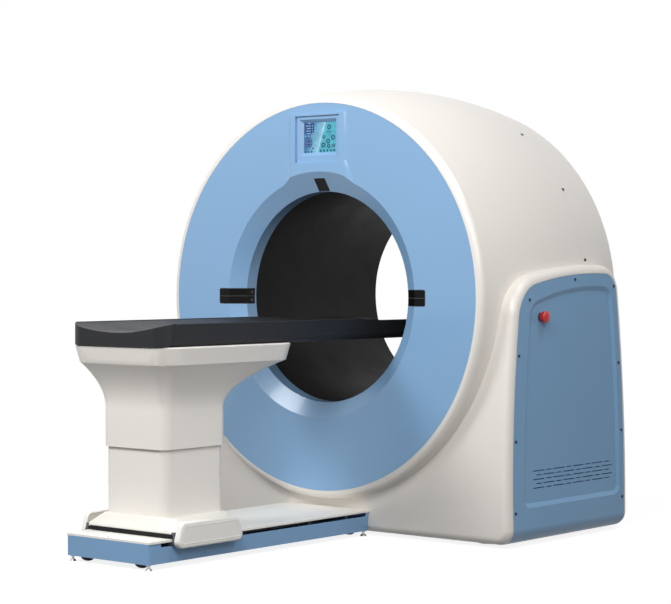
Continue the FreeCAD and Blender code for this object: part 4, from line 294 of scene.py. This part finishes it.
cover_white = painted("CoverWhite", srgb(240, 235, 228), 0.34, clouding=0.012, peel_depth=0.03, coat=0.2)
face_blue = painted("FaceBlue", srgb(136, 178, 218), 0.28, clouding=0.012, peel_depth=0.02, coat=0.25)
panel_blue = painted("PanelBlue", srgb(132, 175, 213), 0.4, clouding=0.018, peel_depth=0.04, level=0.35)
base_blue = painted("BaseBlue", srgb(130, 170, 209), 0.38, clouding=0.018, peel_depth=0.04, level=0.35)
plate_white = painted("PlateWhite", srgb(248, 246, 240), 0.4, clouding=0.012, peel=600.0, peel_depth=0.05)
saddle_white = painted("SaddleWhite", srgb(248, 245, 238), 0.34, clouding=0.01, peel_depth=0.03, coat=0.2)
column_white = painted("ColumnWhite", srgb(248, 243, 236), 0.38, clouding=0.012, peel_depth=0.04, coat=0.1)
liner_black = painted("LinerBlack", srgb(29, 29, 30), 0.5, clouding=0.05, peel=900.0, peel_depth=0.1,
                      rub=0.08, level=0.16)
tabletop_black = laminate("TabletopLaminate", srgb(34, 35, 38), 0.46)
filter_black = painted("FilterBlack", srgb(14, 13, 14), 0.2, clouding=0.02, peel_depth=0.0, level=0.12)
filter_edge = painted("FilterEdge", srgb(96, 116, 140), 0.4, clouding=0.03, peel_depth=0.02)
aperture_grey = painted("ApertureGrey", srgb(92, 84, 84), 0.35, clouding=0.08)
dark_plastic = painted("DarkPlastic", srgb(34, 34, 36), 0.5, clouding=0.05, peel=800.0, peel_depth=0.12,
                       level=0.35)
stop_red = painted("StopRed", srgb(196, 26, 30), 0.32, clouding=0.04, peel_depth=0.03, coat=0.15)
# The dark blue of this sheet material is painted shade for the inside of the vent slots.
vent_shade_sheet = painted("VentPaintedShade", srgb(58, 94, 128), 0.7, clouding=0.06, peel=900.0, peel_depth=0.1, level=0.2)
frame_grey = painted("FrameGrey", srgb(92, 94, 98), 0.5, clouding=0.06, peel=500.0, peel_depth=0.15)
unit_grey = painted("UnitGrey", srgb(140, 142, 145), 0.45, clouding=0.05, peel=500.0, peel_depth=0.12)
slip_ring_green = painted("SlipRingGreen", srgb(60, 92, 66), 0.4, clouding=0.05)
glide_ivory = painted("GlideIvory", srgb(205, 203, 196), 0.5, clouding=0.04, peel_depth=0.06)
rubber_black = painted("RubberBlack", srgb(20, 20, 21), 0.75, clouding=0.1, peel=900.0, peel_depth=0.3,
                       rub=0.15, level=0.25)
screw_dark = metal("ScrewDark", srgb(52, 58, 72), 0.42)
steel = metal("MachinedSteel", srgb(168, 170, 172), 0.3, stretch=(1.0, 0.06, 1.0))
aluminium = metal("Aluminium", srgb(196, 198, 200), 0.36, stretch=(1.0, 0.08, 1.0))
screen_lit = screen_picture()
mark_blue = lit_mark("ScreenMarkBlue", srgb(22, 72, 134))
mark_teal = lit_mark("ScreenMarkTeal", srgb(14, 78, 112))
mark_pale = lit_mark("ScreenMarkPale", srgb(150, 198, 236))

SLOT_MATERIALS = {
    "warm_white_shell": cover_white, "blue_face": face_blue, "blue_panel": panel_blue, "base_blue": base_blue,
    "black_liner": liner_black, "laser_glass": filter_black, "screen_glass": screen_lit,
    "tabletop_laminate": tabletop_black, "stop_red": stop_red, "dark_plastic": dark_plastic,
    "screw_steel": screw_dark, "plate_white": plate_white, "saddle_white": saddle_white,
    "column_paint": column_white, "frame_steel": frame_grey, "machined_steel": steel,
    "rotor_aluminium": aluminium, "unit_grey": unit_grey, "slip_ring_laminate": slip_ring_green,
    "rubber": rubber_black, "wheel_rubber": rubber_black, "glide_plastic": glide_ivory,
}


def put_material(item, material):
    item.data.materials.clear()
    item.data.materials.append(material)


slot_of = {part["node"]: part["material_slot"] for part in frame["record"]["subparts"]}
for node_name, node_item in frame["nodes"].items():
    put_material(node_item, SLOT_MATERIALS[slot_of[node_name]])


# ---------------------------------------------------------------- making pieces

CAD_MERGE, PIECE_MERGE = 2e-5, 1e-6    # points closer than this are one


def new_object(name, data):
    item = bpy.data.objects.new(name, data)
    bpy.context.scene.collection.objects.link(item)
    return item


def body_of_node(name):
    return next(body for body, nodes in frame["record"]["behaviour"]["bodies"].items() if name in nodes)


def merged_copy(name):
    """A node's mesh as one joined bmesh."""
    work = bmesh.new()
    work.from_mesh(frame["nodes"][name].data)
    bmesh.ops.remove_doubles(work, verts=work.verts, dist=CAD_MERGE)
    bmesh.ops.dissolve_degenerate(work, edges=work.edges, dist=PIECE_MERGE)
    return work


def smooth_by_angle(work, degrees):
    """Shade every face smooth and keep the edges sharp that turn by more than this."""
    for face in work.faces:
        face.smooth = True
    for edge in work.edges:
        edge.smooth = len(edge.link_faces) == 2 and edge.calc_face_angle(0) < math.radians(degrees)


def smooth_copy(name, degrees):
    """The node's own shape with its points merged and its curved faces shaded smooth."""
    work = merged_copy(name)
    smooth_by_angle(work, degrees)
    mesh = frame["nodes"][name].data.copy()
    mesh.name = name + "_skin"
    work.to_mesh(mesh)
    work.free()
    item = new_object(name + "_skin", mesh)
    put_material(item, SLOT_MATERIALS[slot_of[name]])
    weighted = item.modifiers.new("EvenNormals", "WEIGHTED_NORMAL")
    weighted.keep_sharp = True
    weighted.weight = 100
    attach(item, body_of_node(name))
    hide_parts(name)


def new_piece(name, work, materials, body, stands_for=()):
    """Make a bmesh a piece that rides on a body."""
    bmesh.ops.remove_doubles(work, verts=work.verts, dist=PIECE_MERGE)
    bmesh.ops.recalc_face_normals(work, faces=work.faces)
    mesh = bpy.data.meshes.new(name)
    work.to_mesh(mesh)
    work.free()
    item = new_object(name, mesh)
    for material in materials:
        mesh.materials.append(material)
    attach(item, body)
    if stands_for:
        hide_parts(*stands_for)
    return item


def thicken(item, thickness):
    """Give a flat piece its thickness, half of it to each side."""
    modifier = item.modifiers.new("Thickness", "SOLIDIFY")
    modifier.thickness = thickness
    modifier.offset = 0


def islands(name):
    """The lowest and highest corner of each separate solid of a node."""
    work = merged_copy(name)
    left = set(work.verts)
    found = []
    for start in work.verts:
        if start not in left:
            continue
        left.remove(start)
        front, points = [start], []
        while front:
            vert = front.pop()
            points.append(vert.co.copy())
            for edge in vert.link_edges:
                other = edge.other_vert(vert)
                if other in left:
                    left.remove(other)
                    front.append(other)
        low = Vector([min(along_axis) for along_axis in zip(*points)])
        high = Vector([max(along_axis) for along_axis in zip(*points)])
        found.append((low, high))
    work.free()
    return found


def rounded_plate(work, low, high, round_edge, segments=2):
    """A plate between two corners with its edges rounded."""
    low, high = Vector(low), Vector(high)
    made = bmesh.ops.create_cube(work, size=1.0)
    bmesh.ops.scale(work, vec=high - low, verts=made["verts"])
    bmesh.ops.translate(work, vec=(low + high) / 2, verts=made["verts"])
    edges = list(dict.fromkeys(edge for vert in made["verts"] for edge in vert.link_edges))
    bmesh.ops.bevel(work, geom=edges, offset=round_edge, segments=segments, profile=0.5,
                    affect="EDGES", material=-1)


def band(work, rows):
    """A strip of faces through rows of two points each."""
    rows = [[work.verts.new(point) for point in row] for row in rows]
    for (a, b), (c, d) in zip(rows, rows[1:]):
        work.faces.new((a, b, d, c))


# ---- the covers, panels and columns keep their CAD shape

SMOOTH_ANGLE = 32
PANEL_SMOOTH_ANGLE = 16    # keeps the low step of the recessed field sharp
for node_name in (
    "front_cover", "rear_cover", "front_face", "side_panel_right", "side_panel_left", "bore_liner",
    "tabletop", "upper_column", "lower_column", "saddle_cover", "stop_collars", "display_frame",
):
    smooth_copy(node_name, PANEL_SMOOTH_ANGLE if node_name.startswith("side_panel") else SMOOTH_ANGLE)


# ---- laser windows: dark panes with a lighter cut edge, an aperture pair and a scribed centre line each

def laser_window_panes():
    """The panes with a narrow rim along the cut edge of each visible side."""
    rim_width, to_front_least, to_bore_least = 0.0012, 0.3, 0.5
    work = merged_copy("laser_windows")
    bmesh.ops.recalc_face_normals(work, faces=work.faces)
    shown = []
    for face in work.faces:
        middle = face.calc_center_median()
        outward = Vector((middle.x, 0, middle.z - AXIS_HEIGHT)).normalized()
        to_bore = -face.normal.dot(outward)
        if -face.normal.y > to_front_least or to_bore > to_bore_least:
            shown.append(face)
    rim = bmesh.ops.inset_region(work, faces=shown, thickness=rim_width, use_even_offset=True,
                                 use_boundary=True)
    for face in rim["faces"]:
        face.material_index = 1
    smooth_by_angle(work, degrees=28)
    new_piece("laser_window_panes", work, [filter_black, filter_edge], "gantry",
              ["laser_windows"])


def laser_marks():
    """Scribed centre lines across the side panes and two small round apertures in each."""
    line_half_width, line_over_face, line_into_bore, thickness = 0.0006, 0.042, 0.04, 0.0003
    aperture_radius, aperture_rim, aperture_rise = 0.0048, 0.0014, 0.0002
    aperture_depth, aperture_off_line = 0.026, 0.0135
    facing = Matrix.Rotation(math.radians(90), 4, "Y")
    work = bmesh.new()
    for side in (-1, 1):
        line = [(CONE_RADIUS + line_over_face, -HAIR), (CONE_RADIUS, -HAIR), (BORE_RADIUS - HAIR, CONE_DEPTH),
                (BORE_RADIUS - HAIR, CONE_DEPTH + line_into_bore)]
        band(work, [[(side * radius, FRONT + depth, AXIS_HEIGHT + z)
                     for z in (-line_half_width, line_half_width)] for radius, depth in line])
        for z in (-aperture_off_line, aperture_off_line):
            spot = Matrix.Translation((
                side * (BORE_RADIUS - 2 * HAIR), FRONT + CONE_DEPTH + aperture_depth, AXIS_HEIGHT + z))
            disc = bmesh.ops.create_circle(work, cap_ends=True, segments=20, radius=aperture_radius,
                                           matrix=spot @ facing)
            face = disc["verts"][0].link_faces[0]
            bmesh.ops.inset_region(work, faces=[face], thickness=aperture_rim, depth=aperture_rise,
                                   use_boundary=True)
    item = new_piece("laser_marks", work, [aperture_grey], "gantry")
    thicken(item, thickness)


# ---- screen: simple round marks, rows and a dial on the lit glass

def screen_marks():
    """Flat shapes a hair in front of the glass; x and height are from the middle of the screen."""
    blue, teal, pale = range(3)
    off_glass, mark_thickness = 0.0002, 0.0002
    front = SCREEN_LOW.y - off_glass
    facing = Matrix.Rotation(math.radians(90), 4, "X")
    work = bmesh.new()

    def spot(x, height, lift):
        return Matrix.Translation((x, front - lift, SCREEN_MIDDLE + height)) @ facing

    def dot(x, height, radius, colour, hole=0.0, lift=0.0):
        made = bmesh.ops.create_circle(work, cap_ends=True, segments=24, radius=radius,
                                       matrix=spot(x, height, lift))
        face = made["verts"][0].link_faces[0]
        face.material_index = colour
        if hole:
            bmesh.ops.inset_region(work, faces=[face], thickness=radius - hole, use_boundary=True)
            bmesh.ops.delete(work, geom=[face], context="FACES_ONLY")

    def bar(x, height, width, tall, colour, lift=0.0):
        shape = Matrix.Diagonal((width / 2, tall / 2, 1, 1))
        made = bmesh.ops.create_grid(work, x_segments=1, y_segments=1, size=1.0,
                                     matrix=spot(x, height, lift) @ shape)
        made["verts"][0].link_faces[0].material_index = colour
        bmesh.ops.bevel(work, geom=made["verts"], offset=min(width, tall) * 0.3, segments=3, profile=0.5,
                        affect="VERTICES", material=-1)

    # A blue pane with a heading, four rows that each end in a dot, and three dots along its foot.
    bar(-0.047, 0.036, 0.042, 0.044, blue)
    bar(-0.047, 0.051, 0.010, 0.005, pale, HAIR)
    for row in range(4):
        inset, height = row % 2, 0.041 - 0.0085 * row
        bar(-0.0515 + 0.002 * inset, height, 0.022 - 0.004 * inset, 0.0022, pale, HAIR)
        dot(-0.033, height, 0.0018, pale, lift=HAIR)
    for step in range(3):
        dot(-0.064 + 0.014 * step, 0.0065, 0.0026, pale, lift=HAIR)

    # A blue dial with its ring and hand.
    dial_x, dial_height = -0.0485, -0.017
    dot(dial_x, dial_height, 0.0155, blue)
    dot(dial_x, dial_height, 0.0115, pale, hole=0.0108, lift=HAIR)
    bar(dial_x, dial_height, 0.019, 0.0012, pale, HAIR)

    # Round rings at the right with one short bar, and rows of dots along the foot of the screen.
    for x, height, radius in ((0.041, 0.034, 0.0085), (0.058, -0.002, 0.0088), (0.0365, -0.0135, 0.0085),
                              (0.015, -0.026, 0.0085), (0.039, -0.0305, 0.0072), (0.0605, -0.029, 0.0066),
                              (0.018, 0.0015, 0.006)):
        dot(x, height, radius, teal, hole=radius * 0.42)
    bar(0.041, 0.019, 0.022, 0.0022, teal)
    for step in range(5):
        dot(0.004 + 0.0148 * step, -0.0455, 0.0042, teal)
    for x in (-0.063, -0.051, -0.037):
        dot(x, -0.0475, 0.0036, teal)
    dot(-0.031, -0.036, 0.0034, teal)
    item = new_piece("screen_marks", work, [mark_blue, mark_teal, mark_pale], "gantry")
    thicken(item, mark_thickness)


# ---- emergency stops: a mushroom head with a scalloped skirt that hides the collar

def stop_head(side, name):
    """Head, skirt and stem turned in one piece about the button's axis."""
    stem_radius = 0.0068
    skirt_end, skirt_ceiling, skirt_inside = 0.0222, 0.0150, 0.0160
    scallop_start, scallop_radius, scallop_swell, scallops = 0.0125, 0.0165, 0.0006, 16
    low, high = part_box(name)
    crown, foot = (high.x, low.x) if side > 0 else (low.x, high.x)
    middle = (low + high) / 2
    length = abs(crown - foot)
    # Each point: how far behind the crown, and the radius there.
    profile = [
        (0.0, 0.0), (0.0003, 0.006), (0.0013, 0.0115), (0.0034, 0.0165), (0.0062, 0.0192), (0.0092, 0.0199),
        (0.0112, 0.0196), (0.0122, 0.0182), (0.0140, 0.0176), (0.0215, 0.0172), (skirt_end, 0.0168),
        (skirt_end, skirt_inside), (skirt_ceiling, skirt_inside), (skirt_ceiling, stem_radius),
        (length, stem_radius), (length, 0.0),
    ]
    work = bmesh.new()
    verts = [work.verts.new((crown - side * behind, middle.y, middle.z + radius))
             for behind, radius in profile]
    edges = [work.edges.new(pair) for pair in zip(verts, verts[1:])]
    bmesh.ops.spin(work, geom=verts + edges, cent=(0, middle.y, middle.z), axis=(1, 0, 0), dvec=(0, 0, 0),
                   angle=math.tau, steps=96, use_merge=True, use_duplicate=False)
    bmesh.ops.remove_doubles(work, verts=work.verts, dist=PIECE_MERGE)
    for vert in work.verts:
        arm = Vector((0, vert.co.y - middle.y, vert.co.z - middle.z))
        if scallop_start < abs(crown - vert.co.x) < skirt_end and arm.length > scallop_radius:
            vert.co += arm.normalized() * scallop_swell * math.cos(scallops * math.atan2(arm.z, arm.y))
    smooth_by_angle(work, degrees=40)
    new_piece(name + "_head", work, [stop_red], "stop_right" if side > 0 else "stop_left", [name])


# ---- vents: a dark blue sheet behind the slots of each side panel, its colour painted shade for the dark inside of the slots

def vent_backing(side, name):
    """The sheet closes the slots from behind, just under the recessed field; its dark blue is painted shade
    for the inside of the slots.
    """
    sheet_back, sheet_face = 0.7374, 0.7389
    start, end, bottom, top = FRONT + 0.198, FRONT + 0.700, 0.176, 0.256
    edge_round = 0.0006
    work = bmesh.new()
    left, right = sorted((side * sheet_back, side * sheet_face))
    rounded_plate(work, (left, start, bottom), (right, end, top), edge_round)
    new_piece(name + "_shade_sheet", work, [vent_shade_sheet], "gantry")


# ---- screws: a dark cross on each head, painted shade for its cross recess

def screw_crosses():
    """Two short dark bars across each screw's outer end, a hair proud of it: painted shade for the cross
    recess.
    """
    reach, half_width, proud, edge_round = 0.0021, 0.00045, 0.00025, 0.00012
    work = bmesh.new()
    for screws in ("panel_screws", "cover_screws"):
        for low, high in islands(screws):
            centre = (low + high) / 2
            spread = list(high - low)
            along = 0 if screws == "panel_screws" else spread.index(max(spread))
            outwards = centre[along] > (0 if along == 0 else AXIS_HEIGHT)
            centre[along] = (high if outwards else low)[along]
            for across in range(3):
                if across == along:
                    continue
                half = Vector((half_width, half_width, half_width))
                half[across] = reach
                half[along] = proud
                rounded_plate(work, centre - half, centre + half, edge_round, 1)
    new_piece("screw_crosses", work, [dark_plastic], "gantry")


def plate_screw():
    """One flat head near the foot end of the base plate, with a narrow rim round its middle."""
    radius, rise, rim_width, middle_rise, rim_height = 0.0036, 0.0004, 0.0008, 0.0003, 0.0005
    place_y = FRONT - 0.984
    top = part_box("base_top_plate")[1].z
    work = bmesh.new()
    made = bmesh.ops.create_circle(work, cap_ends=True, segments=24, radius=radius,
                                   matrix=Matrix.Translation((0, place_y, top + rise)))
    head = made["verts"][0].link_faces[0]
    bmesh.ops.inset_region(work, faces=[head], thickness=rim_width, depth=middle_rise, use_boundary=True)
    rim = bmesh.ops.extrude_edge_only(work, edges=[edge for edge in work.edges if edge.is_boundary])
    lower = [item for item in rim["geom"] if isinstance(item, bmesh.types.BMVert)]
    bmesh.ops.translate(work, vec=(0, 0, -rim_height), verts=lower)
    new_piece("plate_screw_head", work, [screw_dark], "gantry")


# ---- carriage: a fine bead set in from the edge of each side cover, and a black strip under the saddle, painted shade for the dark slot there

def carriage_cover(name, side):
    """The cover with a raised bead that follows its outline."""
    set_in, slope, rise = 0.004, 0.0012, 0.0009
    work = merged_copy(name)
    bmesh.ops.recalc_face_normals(work, faces=work.faces)
    bmesh.ops.dissolve_limit(work, angle_limit=math.radians(1.0), verts=work.verts, edges=work.edges)
    outwards = [face for face in work.faces if face.normal.x * side > 0.99]
    outer = max(outwards, key=lambda face: face.calc_area())
    for thickness, depth in ((set_in, 0.0), (slope, rise), (slope, 0.0), (slope, -rise)):
        bmesh.ops.inset_region(work, faces=[outer], thickness=thickness, depth=depth, use_even_offset=True)
    bmesh.ops.triangulate(work, faces=[face for face in work.faces if len(face.verts) > 4])
    smooth_by_angle(work, degrees=34)
    new_piece(name + "_skin", work, [saddle_white], "carriage", [name])


def shade_strip_under_saddle():
    """A thin upright black strip along the saddle's foot end that bends round its right corner; its black is
    painted shade for the dark slot under the saddle.
    """
    front, left, right, corner = FRONT - 0.899, -0.170, 0.168, 0.026
    bottom, top, thickness = 0.0895, 0.1025, 0.0016
    path = [(left, front), (right, front)]
    for degrees in range(15, 90, 15):
        turn = math.radians(degrees)
        path.append((right + corner * math.sin(turn), front + corner - corner * math.cos(turn)))
    work = bmesh.new()
    band(work, [[(x, y, z) for z in (bottom, top)] for x, y in path])
    # The strip's black is painted shade for the slot under the saddle.
    item = new_piece("saddle_shade_strip", work, [rubber_black], "carriage")
    thicken(item, thickness)


laser_window_panes()
laser_marks()
shade_strip_under_saddle()
plate_screw()
screen_marks()
for side, label in ((1, "right"), (-1, "left")):
    stop_head(side, "stop_button_" + label)
    vent_backing(side, "side_panel_" + label)
    carriage_cover("carriage_cover_" + label, side)
screw_crosses()


# ---------------------------------------------------------------- floor, light and camera

FLOOR_HALF_SIDE = 14.0
SHADOW_FULL, SHADOW_GONE = 0.9, 2.1    # how far from the middle the floor still shows its shadow
FLOOR_BOUNCE = 0.12                    # the floor's grey for the light that it throws back on the object
FLOOR_GLOW, FLOOR_LIT = 0.86, 0.3      # where the shadow shows: the floor's own white, and its lit grey
SOFT_LIGHT = 0.17
LAMP_SIDE = 1.6
LAMP_TARGET = (0, 0.1, 0.8)
LAMPS = [
    ("KeyLeft", (-1.8, -3.0, 3.6), 112),
    ("KeyRight", (1.88, -3.26, 3.24), 70),
    ("SideFill", (3.7, -2.5, 2.5), 50),
    ("TopRight", (2.44, 0.0, 4.5), 50),
]
CAMERA_PLACE = (4.3973, -5.0994, 0.9052)
CAMERA_DIP, CAMERA_TURN = 0.987, 39.749         # degrees below the level, and to the left of straight ahead
CAMERA_LENS, CAMERA_SENSOR = 107.244, 36.0      # millimetres
CAMERA_REACH = 100


def seen_rays(tree):
    """1 for rays from the camera, from mirrors and through glass."""
    ways = add(tree, "ShaderNodeLightPath").outputs
    seen = calc(tree, "MAXIMUM", ways["Is Camera Ray"], ways["Is Glossy Ray"])
    return calc(tree, "MAXIMUM", seen, ways["Is Transmission Ray"])


def mixed(tree, share, first, second):
    """The first shader where the share is 0, the second where it is 1."""
    return add(tree, "ShaderNodeMixShader", values={0: share, 1: first.outputs[0], 2: second.outputs[0]})


def floor_material():
    """Pale floor: plain white to the eye, with the object's soft shadow kept round its foot."""
    material, tree, shader = start_material("FloorPale")
    bounce = (FLOOR_BOUNCE, FLOOR_BOUNCE, FLOOR_BOUNCE, 1)
    feed(tree, shader, {"Base Color": bounce, "Roughness": 0.9, "Specular IOR Level": 0.0})
    away = add(tree, "ShaderNodeVectorMath", {"operation": "LENGTH"}, {0: object_place(tree)})
    near = map_range(tree, away.outputs["Value"], (SHADOW_FULL, SHADOW_GONE), (1.0, 0.0), "SMOOTHSTEP")
    white = add(tree, "ShaderNodeEmission", values={"Color": (1, 1, 1, 1), "Strength": 1.0})
    shaded = add(tree, "ShaderNodeEmission", values={"Color": (1, 1, 1, 1), "Strength": FLOOR_GLOW})
    lit = add(tree, "ShaderNodeBsdfDiffuse", values={"Color": (FLOOR_LIT, FLOOR_LIT, FLOOR_LIT, 1)})
    both = add(tree, "ShaderNodeAddShader", values={0: shaded.outputs[0], 1: lit.outputs[0]})
    choice = mixed(tree, seen_rays(tree), shader, mixed(tree, near, white, both))
    feed(tree, tree.nodes["Material Output"], {"Surface": choice.outputs[0]})
    return material


def make_floor():
    work = bmesh.new()
    bmesh.ops.create_grid(work, x_segments=8, y_segments=8, size=FLOOR_HALF_SIDE)
    mesh = bpy.data.meshes.new("studio_floor")
    work.to_mesh(mesh)
    work.free()
    floor = new_object("studio_floor", mesh)
    put_material(floor, floor_material())


def make_world():
    """White for what the camera, mirrors and glass see; a soft grey for the light on the object."""
    world = bpy.data.worlds.new("Studio")
    bpy.context.scene.world = world
    world.use_nodes = True
    tree = world.node_tree
    tree.nodes.clear()
    soft = add(tree, "ShaderNodeBackground", values={"Color": (0.97, 0.98, 1.0, 1), "Strength": SOFT_LIGHT})
    white = add(tree, "ShaderNodeBackground", values={"Color": (1, 1, 1, 1), "Strength": 1.0})
    choice = mixed(tree, seen_rays(tree), soft, white)
    add(tree, "ShaderNodeOutputWorld", values={"Surface": choice.outputs[0]})


def make_camera():
    camera = bpy.data.cameras.new("PhotoCamera")
    camera.sensor_fit = "HORIZONTAL"
    camera.sensor_width = CAMERA_SENSOR
    camera.lens = CAMERA_LENS
    camera.clip_end = CAMERA_REACH
    item = new_object("PhotoCamera", camera)
    item.location = CAMERA_PLACE
    item.rotation_euler = (math.radians(90 - CAMERA_DIP), 0, math.radians(CAMERA_TURN))
    bpy.context.scene.camera = item


def area_light(name, place, power):
    """A square lamp that points at the object."""
    lamp = bpy.data.lights.new(name, "AREA")
    lamp.shape = "RECTANGLE"
    lamp.size = lamp.size_y = LAMP_SIDE
    lamp.energy = power
    item = new_object(name, lamp)
    item.location = place
    item.rotation_euler = (Vector(LAMP_TARGET) - Vector(place)).to_track_quat("-Z", "Y").to_euler()


make_floor()
make_world()
make_camera()
for lamp_name, lamp_place, lamp_power in LAMPS:
    area_light(lamp_name, lamp_place, lamp_power)
bpy.context.scene.view_settings.view_transform = "Standard"
